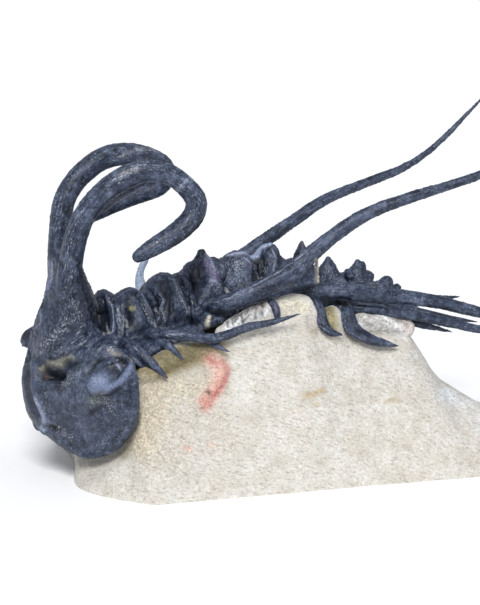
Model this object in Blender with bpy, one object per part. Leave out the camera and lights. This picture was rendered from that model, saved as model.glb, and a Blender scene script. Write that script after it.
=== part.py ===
"""Dicranurus trilobite, free of the rock except along its underside, on its limestone matrix.

The animal is drawn in its own frame, in millimetres. X runs from head to tail, Y from the
animal's left side (negative, the side that shows best) to its right, and Z up from its belly.
The head is bent down over the end of the rock, so its front faces -X. One lean then turns the
animal and the rock into the world, where the rock rests on its flat sawn base at z = 0.
"""

import math
from collections import namedtuple

import bmesh
import bpy
from mathutils import Matrix, Vector

# Driving dimensions, in millimetres and degrees
MM = 0.001
ROLL = 9.0
PITCH = 4.4
BASE_DROP = 1.5
CENTRE_SHIFT = (2.0, 4.0)

RING_HALF_WIDTH = 3.9
RING_SWEEP = 0.9
# Points over a ring from its near furrow to its far one, as shares of its half width and height
RING_ARCH = (
    (1.0, 0.0), (0.88, 0.45), (0.6, 0.82), (0.3, 0.97), (0.0, 1.0), (-0.3, 0.97), (-0.6, 0.8),
    (-0.88, 0.38),
    (-1.0, -0.1),
)
HEAD_CENTRE = (-26.7, 0.0, 10.5)
GLABELLA_BULGE = 1.1
GLABELLA_HALF_WIDTH = 2.8
MARGIN_LIP = 0.6
ROCK_BOTTOM = -9.0

SPINE_SIDES = 6
HORN_SIDES = 10
CONE_SIDES = 8
# A pointed node from its foot up: share of its height, and of its half width
CONE_PROFILE = ((0.0, 1.0), (0.35, 0.78), (0.7, 0.42), (0.93, 0.16))

# Along one ring from front to rear: the share of its length, and of its full height
RING_STEPS = ((0.0, 0.62), (0.22, 0.98), (0.72, 1.0), (1.0, 0.7))
SHARP_ANGLE = 40.0

Segment = namedtuple("Segment", "front rear crown furrow swell near_edge far_edge")
Node = namedtuple("Node", "x z radius_x radius_y height")
RockStation = namedtuple("RockStation", "x top near_shoulder near_foot far_shoulder far_foot")

# Front and rear of each thoracic ring on the midline, height of its crown, height of the furrow
# beside it, swell of the pleura beyond the furrow, and how far each pleura reaches
SEGMENTS = (
    Segment(-19.4, -17.7, 18.3, 14.6, 0.9, 7.8, 7.4),
    Segment(-17.4, -14.4, 18.0, 14.8, 1.0, 8.2, 7.8),
    Segment(-14.1, -10.6, 18.9, 15.2, 0.9, 8.2, 7.6),
    Segment(-10.3, -6.8, 19.3, 16.4, 0.6, 7.6, 6.2),
    Segment(-6.5, -2.9, 19.4, 17.2, 0.3, 7.2, 5.9),
    Segment(-2.6, 0.8, 19.3, 17.2, 0.2, 7.0, 5.9),
    Segment(1.1, 4.0, 17.9, 16.2, 0.2, 6.8, 5.9),
    Segment(4.3, 7.2, 16.3, 15.0, 0.2, 6.6, 5.9),
    Segment(7.5, 10.7, 15.3, 13.9, 0.1, 6.2, 5.9),
)

# The knob or cone on each ring's midline: where it stands, its half widths and its height
NODES = (
    Node(-19.0, 18.7, 0.8, 1.5, 1.2),
    Node(-16.1, 18.4, 1.2, 1.7, 1.3),
    Node(-12.4, 19.3, 1.4, 1.9, 1.4),
    Node(-8.5, 21.2, 2.0, 1.8, 3.2),
    Node(-4.6, 20.3, 1.6, 1.9, 1.8),
    Node(-0.9, 20.5, 1.45, 1.8, 2.0),
    Node(2.6, 20.3, 1.2, 1.4, 3.2),
    Node(5.6, 18.1, 1.45, 1.4, 2.6),
    Node(9.0, 17.2, 1.5, 1.4, 2.6),
)
POINTED_NODES = (3, 6, 7, 8)

# Spines as (x, y, z, radius), from the root inside the shell to the tip
NEAR_SPINES = {
    1: (
        ((-19.5, -5.5, 15.2, 0.65), (-19.3, -7.6, 15.5, 0.62), (-18.4, -9.5, 14.5, 0.55),
         (-17.1, -10.3, 13.1, 0.15)),
        ((-19.7, -6.2, 14.9, 0.55), (-19.6, -8.0, 14.6, 0.45), (-19.0, -9.4, 14.0, 0.12)),
    ),
    2: (
        ((-16.6, -5.0, 15.4, 0.6), (-16.8, -7.2, 16.4, 0.55), (-14.6, -9.3, 16.6, 0.5),
         (-11.7, -9.7, 15.9, 0.52), (-8.3, -9.9, 16.5, 0.45), (-5.8, -10.3, 16.8, 0.33),
         (-3.0, -10.7, 17.3, 0.1)),
        ((-16.7, -6.5, 15.6, 0.5), (-16.2, -8.8, 15.6, 0.45), (-15.2, -10.4, 14.5, 0.1)),
    ),
    3: (
        ((-13.2, -6.5, 15.6, 0.6), (-12.2, -8.8, 15.4, 0.42), (-10.5, -10.6, 14.6, 0.1)),
    ),
    4: (
        ((-10.0, -4.5, 17.0, 0.75), (-9.3, -7.0, 18.2, 0.85), (-7.1, -8.0, 19.1, 0.95),
         (-3.3, -9.0, 20.9, 0.98), (-0.3, -9.5, 23.4, 0.79), (3.8, -10.0, 25.9, 0.69),
         (7.9, -10.5, 27.1, 0.6), (12.0, -11.0, 27.9, 0.52), (16.2, -11.5, 28.8, 0.46),
         (21.0, -12.0, 30.4, 0.38), (26.0, -12.5, 32.6, 0.26), (29.5, -12.8, 34.6, 0.1)),
    ),
    5: (
        ((-5.2, -6.5, 17.0, 0.6), (-5.0, -8.2, 17.8, 0.5), (-4.9, -9.0, 17.3, 0.42),
         (-4.9, -9.4, 16.5, 0.36), (-4.9, -9.5, 15.9, 0.15)),
    ),
    6: (
        ((-0.7, -5.8, 16.8, 0.7), (0.0, -7.3, 17.0, 0.68), (0.1, -8.7, 16.3, 0.6),
         (0.0, -9.7, 15.4, 0.55), (0.5, -10.3, 14.6, 0.45), (1.6, -10.6, 14.2, 0.12)),
        ((-2.0, -5.0, 17.2, 0.6), (-0.1, -6.7, 17.7, 0.7), (1.8, -7.2, 17.6, 0.84),
         (4.0, -7.8, 17.3, 0.88), (7.1, -8.2, 16.5, 0.86), (9.7, -8.5, 16.0, 0.76),
         (13.7, -8.8, 14.8, 0.68), (18.2, -9.1, 13.0, 0.58), (25.5, -9.4, 10.2, 0.12)),
    ),
    7: (
        ((2.8, -5.8, 15.6, 0.7), (3.4, -7.4, 15.6, 0.74), (3.1, -8.6, 15.5, 0.82),
         (2.9, -9.5, 15.1, 0.84), (3.3, -10.1, 14.2, 0.74), (4.5, -10.5, 13.3, 0.6),
         (6.2, -10.7, 12.5, 0.42), (7.9, -10.7, 11.9, 0.12)),
        ((2.0, -5.0, 15.4, 0.6), (3.0, -6.4, 15.5, 0.5), (5.0, -7.7, 15.3, 0.48), (8.0, -8.7, 14.75, 0.5),
         (12.5, -9.3, 13.4, 0.5), (18.2, -9.9, 11.4, 0.42), (23.0, -10.2, 9.7, 0.1)),
    ),
    8: (
        ((5.0, -5.3, 14.5, 0.55), (5.6, -7.0, 14.7, 0.5), (7.6, -7.6, 14.2, 0.5),
         (11.0, -8.0, 12.9, 0.5), (15.3, -8.5, 11.2, 0.12)),
    ),
    9: (
        ((8.2, -4.6, 13.3, 0.55), (9.2, -6.1, 13.3, 0.5), (12.0, -6.6, 12.9, 0.5),
         (17.0, -7.3, 11.3, 0.4), (21.5, -7.7, 9.7, 0.1)),
    ),
}
FAR_SPINES = {
    1: (
        ((-19.5, 5.2, 14.3, 0.6), (-19.3, 7.2, 14.1, 0.55), (-18.6, 9.2, 12.6, 0.12)),
    ),
    2: (
        ((-16.8, 5.4, 14.5, 0.55), (-16.6, 7.8, 14.3, 0.5), (-15.6, 9.6, 12.6, 0.12)),
    ),
    3: (
        ((-13.3, 5.4, 14.4, 0.6), (-12.4, 7.0, 14.2, 0.62), (-11.5, 8.2, 14.6, 0.6),
         (-11.3, 8.9, 15.5, 0.47), (-10.9, 9.4, 16.2, 0.4), (-10.2, 9.9, 16.9, 0.37),
         (-9.5, 10.3, 17.6, 0.3), (-9.0, 10.6, 18.3, 0.1)),
    ),
    4: (
        ((-9.8, 4.2, 15.4, 0.65), (-8.6, 6.7, 15.4, 0.68), (-4.0, 7.7, 15.6, 0.74),
         (-0.4, 8.0, 16.2, 0.77), (1.9, 8.2, 17.2, 0.75), (5.8, 8.8, 18.7, 0.68), (9.3, 9.1, 20.2, 0.62),
         (12.5, 9.5, 20.9, 0.56), (19.3, 10.0, 22.1, 0.44), (22.4, 10.3, 23.2, 0.35),
         (25.0, 10.6, 24.7, 0.31), (28.0, 11.0, 26.8, 0.24), (30.5, 11.3, 28.6, 0.08)),
    ),
    5: (
        ((-5.6, 4.2, 15.3, 0.55), (-5.4, 6.2, 13.9, 0.45), (-4.8, 7.8, 12.2, 0.12)),
    ),
    6: (
        ((-1.9, 4.2, 15.2, 0.6), (-1.6, 6.2, 13.8, 0.45), (-0.5, 7.8, 12.2, 0.12)),
    ),
    7: (
        ((1.6, 4.2, 14.7, 0.6), (2.4, 6.8, 14.3, 0.6), (5.4, 8.4, 13.5, 0.55), (10.4, 8.8, 11.7, 0.58),
         (17.5, 8.3, 9.2, 0.5), (22.0, 7.5, 8.0, 0.36), (25.2, 7.0, 7.7, 0.12)),
    ),
    8: (
        ((4.8, 4.2, 13.6, 0.55), (5.4, 6.2, 12.9, 0.5), (7.2, 7.0, 12.2, 0.48), (9.4, 7.2, 11.2, 0.42),
         (13.0, 7.1, 9.8, 0.4), (17.5, 6.8, 8.2, 0.12)),
    ),
    9: (
        ((8.2, 4.0, 12.7, 0.5), (9.3, 5.4, 12.2, 0.45), (10.8, 5.6, 11.7, 0.45), (13.4, 5.7, 10.9, 0.42),
         (19.0, 5.4, 9.2, 0.38), (24.4, 5.0, 7.8, 0.1)),
    ),
}
# The tail shield's sections: x, height on the midline, height at the side, half width
PYGIDIUM = (
    (11.0, 14.2, 12.6, 5.0),
    (12.3, 14.0, 12.2, 4.8),
    (14.0, 12.8, 11.4, 4.0),
    (15.6, 11.6, 10.7, 2.6),
)
# Its axial nodes: centre and radii
PYGIDIUM_NODES = (((12.3, 0.0, 13.9), (0.75, 0.9, 0.85)), ((13.5, 0.0, 13.1), (0.5, 0.6, 0.6)))
PYGIDIUM_SPINES = (
    ((13.0, -2.4, 11.9, 0.6), (16.5, -3.6, 10.9, 0.45), (21.0, -4.0, 9.6, 0.1)),
    ((13.0, 2.4, 11.5, 0.6), (16.5, 3.2, 10.2, 0.45), (20.5, 3.4, 8.9, 0.1)),
)

NEAR_HORN = (
    (-23.1, -1.2, 18.6, 1.4), (-23.4, -1.5, 20.6, 1.28), (-23.2, -1.8, 23.0, 1.16),
    (-22.9, -2.2, 25.3, 1.12),
    (-22.3, -2.6, 27.4, 1.08), (-21.3, -3.0, 29.1, 1.05), (-19.9, -3.4, 30.5, 1.08),
    (-18.2, -3.8, 31.5, 1.1),
    (-16.4, -4.3, 32.0, 1.08), (-14.4, -4.9, 31.6, 1.0), (-12.8, -5.4, 30.3, 1.0),
    (-11.8, -5.8, 28.7, 1.04),
    (-12.3, -6.0, 27.2, 1.05), (-14.1, -6.1, 25.9, 1.0), (-16.2, -6.0, 24.9, 0.88),
    (-17.3, -6.0, 24.45, 0.76), (-18.1, -6.0, 24.1, 0.58),
)
FAR_HORN = (
    (-22.7, 1.2, 17.8, 1.45), (-22.8, 1.7, 19.8, 1.35), (-22.8, 2.0, 21.8, 1.22), (-22.6, 2.3, 24.2, 1.12),
    (-22.3, 2.5, 26.4, 1.08), (-21.6, 2.7, 28.2, 1.06), (-20.2, 2.9, 29.7, 1.07), (-18.2, 3.2, 30.8, 1.1),
    (-16.4, 3.5, 31.1, 1.12), (-14.4, 3.9, 30.8, 1.1), (-12.3, 4.4, 30.0, 1.04), (-10.5, 4.9, 28.8, 1.0),
    (-9.9, 5.2, 27.4, 0.98), (-10.7, 5.5, 26.3, 0.96), (-12.5, 5.8, 25.8, 0.95), (-14.9, 6.0, 25.2, 0.92),
    (-16.9, 6.2, 24.5, 0.85), (-17.7, 6.2, 24.1, 0.7),
)
# Height, centre x and half widths of the column that carries both horns
TRUNK = (
    (12.5, -24.0, 2.6, 3.6), (15.5, -23.1, 2.9, 3.7), (18.2, -22.7, 2.4, 3.1), (20.0, -22.8, 2.0, 2.7),
    (21.6, -22.9, 1.45, 2.3), (22.8, -23.0, 1.1, 2.1),
)
# Left half of the head shield's edge, from the nape round the cheek to the chin, as (x, y, z)
SHIELD_EDGE = (
    (-21.9, 0.0, 16.6), (-21.5, -4.2, 16.2), (-21.2, -8.0, 15.8), (-21.1, -10.9, 15.5),
    (-21.3, -12.3, 13.9),
    (-21.4, -12.6, 11.9), (-21.5, -12.3, 10.0), (-21.8, -11.5, 8.3), (-22.3, -10.3, 6.6),
    (-23.1, -8.8, 5.3),
    (-24.1, -7.0, 4.5), (-25.0, -4.5, 4.3), (-25.8, -2.0, 4.8), (-26.0, 0.0, 5.1),
)
FAR_CHEEK_SHARE = 0.86
SHIELD_RINGS = (0.92, 0.76, 0.56, 0.34, 0.15)
SHIELD_FULLNESS = 1.6

# Centre, radii and the way the long axis points
NEAR_EYE = ((-23.0, -8.6, 13.1), (2.3, 1.2, 1.3), (3.0, -1.2, 2.0))
FAR_EYE = ((-23.1, 7.9, 12.6), (1.9, 1.0, 1.0), (3.0, 1.2, 2.0))
CHIN_KNOB = ((-26.1, 0.2, 5.7), (0.7, 0.8, 0.6))

# Sections across the rock, as (y, z) of each shoulder and foot
ROCK = (
    RockStation(-25.2, 1.4, (-7.4, 1.2), (-9.6, -6.0), (-6.0, 0.8), (-5.6, -6.0)),
    RockStation(-24.2, 2.6, (-9.0, 2.8), (-12.4, -6.0), (-3.8, 1.8), (-3.2, -6.0)),
    RockStation(-22.8, 3.8, (-10.3, 4.6), (-14.5, -5.0), (-1.0, 2.8), (-0.4, -6.0)),
    RockStation(-21.4, 5.2, (-11.2, 6.4), (-16.2, -5.0), (2.6, 4.4), (3.4, -6.0)),
    RockStation(-20.7, 7.6, (-11.2, 9.6), (-16.8, -5.0), (5.8, 6.8), (6.6, -6.0)),
    RockStation(-20.3, 12.6, (-9.6, 13.4), (-16.8, -5.0), (8.2, 10.6), (9.6, -6.0)),
    RockStation(-18.4, 12.8, (-9.0, 13.2), (-17.0, -5.0), (9.0, 11.2), (12.6, -6.0)),
    RockStation(-15.8, 13.0, (-9.2, 13.7), (-17.2, -5.0), (9.2, 11.4), (14.6, -6.0)),
    RockStation(-12.5, 12.9, (-9.3, 13.9), (-17.6, -5.0), (9.4, 11.6), (14.8, -6.0)),
    RockStation(-9.0, 14.0, (-9.4, 15.0), (-18.0, -5.0), (8.4, 11.6), (14.8, -6.0)),
    RockStation(-5.5, 15.2, (-9.7, 15.8), (-18.4, -5.0), (8.4, 11.4), (14.8, -6.0)),
    RockStation(-2.4, 15.2, (-9.8, 15.9), (-18.8, -5.0), (8.4, 11.2), (14.6, -6.0)),
    RockStation(0.2, 14.2, (-9.2, 14.5), (-19.2, -5.0), (8.4, 11.0), (14.4, -6.0)),
    RockStation(3.8, 12.7, (-9.2, 13.3), (-19.8, -5.0), (8.4, 10.6), (14.0, -6.0)),
    RockStation(7.8, 11.6, (-9.4, 12.3), (-20.4, -5.0), (8.0, 9.8), (13.4, -6.0)),
    RockStation(10.0, 10.9, (-8.9, 11.8), (-20.8, -5.0), (7.4, 8.6), (12.6, -6.0)),
    RockStation(11.8, 10.3, (-7.8, 11.3), (-21.1, -5.0), (6.8, 7.0), (12.0, -6.0)),
    RockStation(13.0, 7.8, (-9.8, 7.1), (-21.2, -5.0), (6.2, 5.6), (11.4, -6.0)),
    RockStation(15.6, 5.0, (-11.6, 5.6), (-21.4, -5.0), (4.6, 2.0), (9.6, -6.0)),
    RockStation(19.0, 1.5, (-12.6, 4.4), (-21.0, -5.0), (2.4, -1.2), (6.4, -6.0)),
    RockStation(22.0, -0.8, (-12.2, 2.2), (-18.6, -5.0), (-1.0, -2.6), (3.0, -6.0)),
)

SHELL_COLOUR = (0.035, 0.042, 0.062, 1.0)
ROCK_COLOUR = (0.72, 0.68, 0.58, 1.0)


def animal_to_world():
    """The lean of the animal, the metres of the world, and the rock's base at z = 0."""
    lean = Matrix.Rotation(math.radians(ROLL), 4, "X") @ Matrix.Rotation(math.radians(-PITCH), 4, "Y")
    place = Matrix.Translation((CENTRE_SHIFT[0], CENTRE_SHIFT[1], BASE_DROP))
    return Matrix.Scale(MM, 4) @ place @ lean


def clear_scene():
    for old in list(bpy.data.objects):
        bpy.data.objects.remove(old, do_unlink=True)


def make_material(name, colour, roughness):
    material = bpy.data.materials.new(name)
    material.use_nodes = True
    shader = material.node_tree.nodes["Principled BSDF"]
    shader.inputs["Base Color"].default_value = colour
    shader.inputs["Roughness"].default_value = roughness
    shader.inputs["Metallic"].default_value = 0.0
    return material


def catmull_rom(points, per_span):
    """A smooth run through (x, y, z, radius) points."""
    padded = [points[0]] + list(points) + [points[-1]]
    run = []
    for k in range(1, len(padded) - 2):
        for step in range(per_span):
            t = step / per_span
            run.append(tuple(
                0.5 * (2 * b + (c - a) * t + (2 * a - 5 * b + 4 * c - d) * t * t
                       + (3 * b - a - 3 * c + d) * t ** 3)
                for a, b, c, d in zip(padded[k - 1], padded[k], padded[k + 1], padded[k + 2])
            ))
    run.append(tuple(points[-1]))
    return run


def skin_rings(rings, start_tip, end_tip):
    """One closed bmesh from rings of points of equal count, with a fan to a tip at each end."""
    mesh = bmesh.new()
    rows = [[mesh.verts.new(point) for point in ring] for ring in rings]
    count = len(rows[0])
    for row, following in zip(rows, rows[1:]):
        for k in range(count):
            mesh.faces.new((row[k], row[(k + 1) % count], following[(k + 1) % count], following[k]))
    for row, tip in ((rows[0], start_tip), (rows[-1], end_tip)):
        point = mesh.verts.new(tip)
        for k in range(count):
            mesh.faces.new((row[k], row[(k + 1) % count], point))
    bmesh.ops.recalc_face_normals(mesh, faces=mesh.faces[:])
    return mesh


def tube(points, sides, per_span=1, blunt=False):
    """A tapered tube along (x, y, z, radius) points, its ring turned as little as possible."""
    run = catmull_rom(points, per_span) if per_span > 1 else list(points)
    centres = [Vector(point[:3]) for point in run]
    side = Vector((0.31, 0.77, 0.55))
    rings = []
    for k, point in enumerate(run):
        along = (centres[min(k + 1, len(run) - 1)] - centres[max(k - 1, 0)]).normalized()
        side = (side - along * side.dot(along)).normalized()
        other = along.cross(side)
        rings.append([
            centres[k] + (side * math.cos(turn) + other * math.sin(turn)) * point[3]
            for turn in (2 * math.pi * i / sides for i in range(sides))
        ])
    start = centres[0] - (centres[1] - centres[0]).normalized() * run[0][3] * 0.5
    ending = (centres[-1] - centres[-2]).normalized()
    tip = centres[-1] + ending * run[-1][3] * (0.5 if blunt else 1.5)
    if blunt:
        past = ending * run[-1][3] * 0.4
        rings.append([centres[-1] + (place - centres[-1]) * 0.7 + past for place in rings[-1]])
    return skin_rings(rings, start, tip)


def blob(centre, radii, turn=None, sides=10, rows=6):
    """A closed ellipsoid."""
    mesh = bmesh.new()
    bmesh.ops.create_uvsphere(mesh, u_segments=sides, v_segments=rows, radius=1.0)
    shape = Matrix.Translation(centre) @ (turn or Matrix.Identity(4)) @ Matrix.Diagonal((*radii, 1.0))
    bmesh.ops.transform(mesh, matrix=shape, verts=mesh.verts[:])
    return mesh


def cone(centre_x, top, base, radius_x, radius_y):
    """A node with a narrow rounded tip, standing on the midline."""
    turns = [2 * math.pi * i / CONE_SIDES for i in range(CONE_SIDES)]
    rings = [
        [(centre_x + radius_x * width * math.cos(turn), radius_y * width * math.sin(turn),
          base + (top - base) * share) for turn in turns]
        for share, width in CONE_PROFILE
    ]
    return skin_rings(rings, (centre_x, 0.0, base - 0.3), (centre_x, 0.0, top))


def fuse(name, pieces, material):
    """One closed object from overlapping closed pieces, in the world."""
    objects = []
    helpers = bpy.data.collections.new(name + "_pieces")
    bpy.context.scene.collection.children.link(helpers)
    for k, piece in enumerate(pieces):
        data = bpy.data.meshes.new(f"{name}_piece_{k}")
        piece.to_mesh(data)
        piece.free()
        objects.append(bpy.data.objects.new(f"{name}_piece_{k}", data))
    body = objects[0]
    bpy.context.scene.collection.objects.link(body)
    for other in objects[1:]:
        helpers.objects.link(other)
    if len(objects) > 1:
        union = body.modifiers.new("Union", "BOOLEAN")
        union.operation = "UNION"
        union.solver = "EXACT"
        union.operand_type = "COLLECTION"
        union.collection = helpers
    graph = bpy.context.evaluated_depsgraph_get()
    mesh = bpy.data.meshes.new_from_object(body.evaluated_get(graph))
    mesh.name = name
    for obj in objects:
        bpy.data.objects.remove(obj, do_unlink=True)
    bpy.data.collections.remove(helpers)
    mesh.transform(animal_to_world())
    mesh.materials.clear()
    mesh.materials.append(material)
    mesh.shade_smooth()
    mesh.set_sharp_from_angle(angle=math.radians(SHARP_ANGLE))
    result = bpy.data.objects.new(name, mesh)
    bpy.context.scene.collection.objects.link(result)
    return result


def ring_section(x, segment, lift):
    """The outline of one thoracic segment across the body: its top, then its underside, near side first."""
    half = RING_HALF_WIDTH
    rise = (segment.crown - segment.furrow) * lift
    near, far, low = segment.near_edge, segment.far_edge, segment.furrow
    top = [(-near, low + segment.swell - 0.5), (-(half + near) / 2, low + segment.swell * lift)]
    top += [(-half * share, low + rise * height) for share, height in RING_ARCH]
    top += [((half + far) / 2, low - 0.3), (far, low - 1.2)]
    under = [(-near, low + segment.swell - 1.1), (-(half + near) / 2, low + segment.swell - 1.9)]
    under += [(-half * share, low - 1.5) for share, _ in RING_ARCH]
    under += [((half + far) / 2, low - 1.7), (far, low - 1.8)]

    def swept(y, z):
        return (x - RING_SWEEP * min(abs(y) / half, 1.0) ** 1.5, y, z)

    return [swept(y, z) for y, z in top], [swept(y, z) for y, z in under]


def skin_band(sections):
    """One closed bmesh from sections of a top and an underside with as many points each."""
    mesh = bmesh.new()
    rows = [
        ([mesh.verts.new(point) for point in top], [mesh.verts.new(point) for point in under])
        for top, under in sections
    ]
    for (top, under), (next_top, next_under) in zip(rows, rows[1:]):
        for k in range(len(top) - 1):
            mesh.faces.new((top[k], top[k + 1], next_top[k + 1], next_top[k]))
            mesh.faces.new((under[k], under[k + 1], next_under[k + 1], next_under[k]))
        for k in (0, -1):
            mesh.faces.new((top[k], next_top[k], next_under[k], under[k]))
    for top, under in (rows[0], rows[-1]):
        for k in range(len(top) - 1):
            mesh.faces.new((top[k], top[k + 1], under[k + 1], under[k]))
    bmesh.ops.recalc_face_normals(mesh, faces=mesh.faces[:])
    return mesh


def thoracic_segment(number, material):
    segment = SEGMENTS[number - 1]
    node = NODES[number - 1]
    length = segment.rear - segment.front
    sections = [
        ring_section(segment.front + length * place, segment, lift)
        for place, lift in RING_STEPS
    ]
    pieces = [skin_band(sections)]
    if number - 1 in POINTED_NODES:
        pieces.append(cone(node.x, node.z, node.z - node.height, node.radius_x, node.radius_y))
    else:
        middle = (node.x, 0.0, node.z - node.height)
        pieces.append(blob(middle, (node.radius_x, node.radius_y, node.height)))
    for spine in NEAR_SPINES[number] + FAR_SPINES[number]:
        pieces.append(tube(spine, SPINE_SIDES, per_span=2))
    return fuse(f"thoracic_segment_{number}", pieces, material)


def pygidium(material):
    """The small tail shield, with two nodes on its axis and a pair of its own spines."""
    rings = []
    for x, top, side, half in PYGIDIUM:
        bottom = side - 1.1
        rings.append([
            (x - 0.7, -half, side), (x, -half * 0.55, side + 0.2), (x, -half * 0.3, top - 0.4),
            (x, 0.0, top), (x, half * 0.3, top - 0.4), (x, half * 0.55, side), (x - 0.7, half, side - 0.5),
            (x - 0.6, half * 0.9, bottom - 0.3), (x, 0.0, bottom), (x - 0.6, -half * 0.9, bottom),
        ])
    pieces = [skin_rings(rings, (10.9, 0.0, 12.8), (16.0, 0.0, 10.9))]
    pieces += [blob(centre, radii, sides=8, rows=5) for centre, radii in PYGIDIUM_NODES]
    for spine in PYGIDIUM_SPINES:
        pieces.append(tube(spine, SPINE_SIDES, per_span=2))
    return fuse("pygidium", pieces, material)


def head_shield():
    """The shield as rings from its edge to its middle in front, and a flat fan behind."""
    edge = list(SHIELD_EDGE) + [(x, -y * FAR_CHEEK_SHARE, z) for x, y, z in SHIELD_EDGE[-2:0:-1]]
    middle_x, _, middle_z = HEAD_CENTRE
    rings = [[(x + MARGIN_LIP, y * 0.97, middle_z + (z - middle_z) * 0.97) for x, y, z in edge], edge]
    for share in SHIELD_RINGS:
        ring = []
        for x, y, z in edge:
            out_y = y * share
            front = middle_x + (x - middle_x) * share ** SHIELD_FULLNESS
            front -= GLABELLA_BULGE * math.exp(-(out_y / GLABELLA_HALF_WIDTH) ** 2) * (1 - share ** 4)
            ring.append((front, out_y, middle_z + (z - middle_z) * share))
        rings.append(ring)
    back = (-22.6, 0.0, 11.0)
    return skin_rings(rings, back, (middle_x - GLABELLA_BULGE, 0.0, middle_z))


def trunk():
    """The column behind the glabella that splits into the two occipital horns."""
    rings = [
        [(x + half_x * math.cos(turn), half_y * math.sin(turn), z)
         for turn in (2 * math.pi * i / 14 for i in range(14))]
        for z, x, half_x, half_y in TRUNK
    ]
    return skin_rings(rings, (-24.0, 0.0, 12.0), (-23.0, 0.0, 23.1))


def cephalon(material):
    eyes = []
    for centre, radii, along in (NEAR_EYE, FAR_EYE):
        turn = Vector(along).to_track_quat("X", "Z").to_matrix().to_4x4()
        eyes.append(blob(centre, radii, turn=turn))
    pieces = [
        head_shield(),
        trunk(),
        tube(NEAR_HORN, HORN_SIDES, per_span=2, blunt=True),
        tube(FAR_HORN, HORN_SIDES, per_span=2, blunt=True),
        blob(*CHIN_KNOB, sides=8, rows=5),
    ]
    return fuse("cephalon", pieces + eyes, material)


def limestone_matrix(material):
    """The rock: sections along the body, then a flat base cut level in the world."""
    rings = []
    for station in ROCK:
        x, top = station.x, station.top
        near_y, near_z = station.near_shoulder
        far_y, far_z = station.far_shoulder
        foot_y, far_foot_y = station.near_foot[0], station.far_foot[0]
        rings.append([
            (x, foot_y, ROCK_BOTTOM),
            (x, foot_y, 0.0),
            (x, near_y + (foot_y - near_y) * 0.62, near_z * 0.45),
            (x, near_y + (foot_y - near_y) * 0.25, near_z * 0.8),
            (x, near_y, near_z),
            (x, near_y + (far_y - near_y) * 0.12, top + (near_z - top) * 0.25),
            (x, near_y + (far_y - near_y) * 0.34, top),
            (x, near_y + (far_y - near_y) * 0.65, top - 0.3),
            (x, far_y, far_z),
            (x, far_y + (far_foot_y - far_y) * 0.5, far_z * 0.6 - 0.8),
            (x, far_foot_y, -1.5),
            (x, far_foot_y, ROCK_BOTTOM),
        ])
    first, last = ROCK[0], ROCK[-1]
    rock = skin_rings(rings, (first.x - 0.6, 0.0, ROCK_BOTTOM / 2), (last.x + 0.8, -8.0, ROCK_BOTTOM / 2))
    body = fuse("limestone_matrix", [rock], material)
    cut = bmesh.new()
    cut.from_mesh(body.data)
    whole = cut.verts[:] + cut.edges[:] + cut.faces[:]
    sliced = bmesh.ops.bisect_plane(
        cut, geom=whole, plane_co=(0, 0, 0), plane_no=(0, 0, 1), clear_inner=True
    )
    rim = [item for item in sliced["geom_cut"] if isinstance(item, bmesh.types.BMEdge)]
    bmesh.ops.contextual_create(cut, geom=rim)
    bmesh.ops.recalc_face_normals(cut, faces=cut.faces[:])
    cut.to_mesh(body.data)
    cut.free()
    return body


def main():
    clear_scene()
    shell = make_material("fossil_shell", SHELL_COLOUR, 0.5)
    rock = make_material("limestone", ROCK_COLOUR, 0.9)
    limestone_matrix(rock)
    cephalon(shell)
    for number in range(1, len(SEGMENTS) + 1):
        thoracic_segment(number, shell)
    pygidium(shell)


main()
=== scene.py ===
"""Looks of the dicranurus trilobite and the limestone that it lies on.

Every shape is drawn in the animal's own frame, in millimetres, from nearly the same named values
as the solids: X runs from head to tail, Y from its left side (negative, nearest the camera) to its
right, and Z up from its belly. What grew as one is fused, rounded and given its relief, then leaned
into the world.
"""

import math
from collections import namedtuple
from itertools import product

import bmesh
import bpy
import numpy as np
from mathutils import Matrix, Vector


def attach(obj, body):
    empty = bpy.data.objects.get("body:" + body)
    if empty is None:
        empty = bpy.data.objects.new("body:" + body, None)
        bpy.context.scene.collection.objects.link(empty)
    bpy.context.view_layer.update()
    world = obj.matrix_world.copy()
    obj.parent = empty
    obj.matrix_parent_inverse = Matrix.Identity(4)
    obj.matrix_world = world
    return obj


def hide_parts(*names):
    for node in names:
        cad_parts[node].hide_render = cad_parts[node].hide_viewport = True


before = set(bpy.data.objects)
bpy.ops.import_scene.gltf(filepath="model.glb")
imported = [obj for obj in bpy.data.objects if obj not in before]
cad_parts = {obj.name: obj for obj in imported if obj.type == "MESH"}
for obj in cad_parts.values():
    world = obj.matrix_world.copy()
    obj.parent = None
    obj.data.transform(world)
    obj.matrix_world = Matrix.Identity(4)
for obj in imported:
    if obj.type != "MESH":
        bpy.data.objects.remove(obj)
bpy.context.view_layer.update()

# Placing of the animal, as in the solids: millimetres and degrees
MM = 0.001
ROLL = 9.0
PITCH = 4.4
BASE_DROP = 1.5
CENTRE_SHIFT = (2.0, 4.0)

# Sizes of the smallest shapes that are kept, in millimetres, and rounds of smoothing
HEAD_VOXEL = 0.13
RING_VOXEL = 0.125
ROCK_VOXEL = 0.26
HEAD_ROUNDS = 2
RING_ROUNDS = 1
ROCK_ROUNDS = 5
WORN_ROUNDS = 30
WORN_REAR_ROUNDS = 160
MASK_ROUNDS = 12
CAVITY_ROUNDS = 12

# Heights and depths of the fine relief, in millimetres
SPINE_GROOVES = 0.05
SPINE_GRIT = 0.05
RING_STREAKS = 0.04
RING_SWELL = 0.05
RING_GRIT = 0.05
TAIL_GROOVES = 0.06
TAIL_GRIT = 0.07
HEAD_GROOVES = 0.06
HEAD_GRIT = 0.085
HEAD_LUMPS = 0.05
HEAD_SWELL = 0.04
ROCK_SWELL = 0.07
ROCK_LUMPS = 0.06
ROCK_BEDDING = 0.035
BANK_CRUMBLE = 0.16
# Depths from which a hollow is counted full, both for the dirt that gathers in it and for the painted shade
# that darkens it
CAVITY_SHALLOW = 0.02
RING_CAVITY = 0.14
HEAD_CAVITY = 0.16
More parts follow.
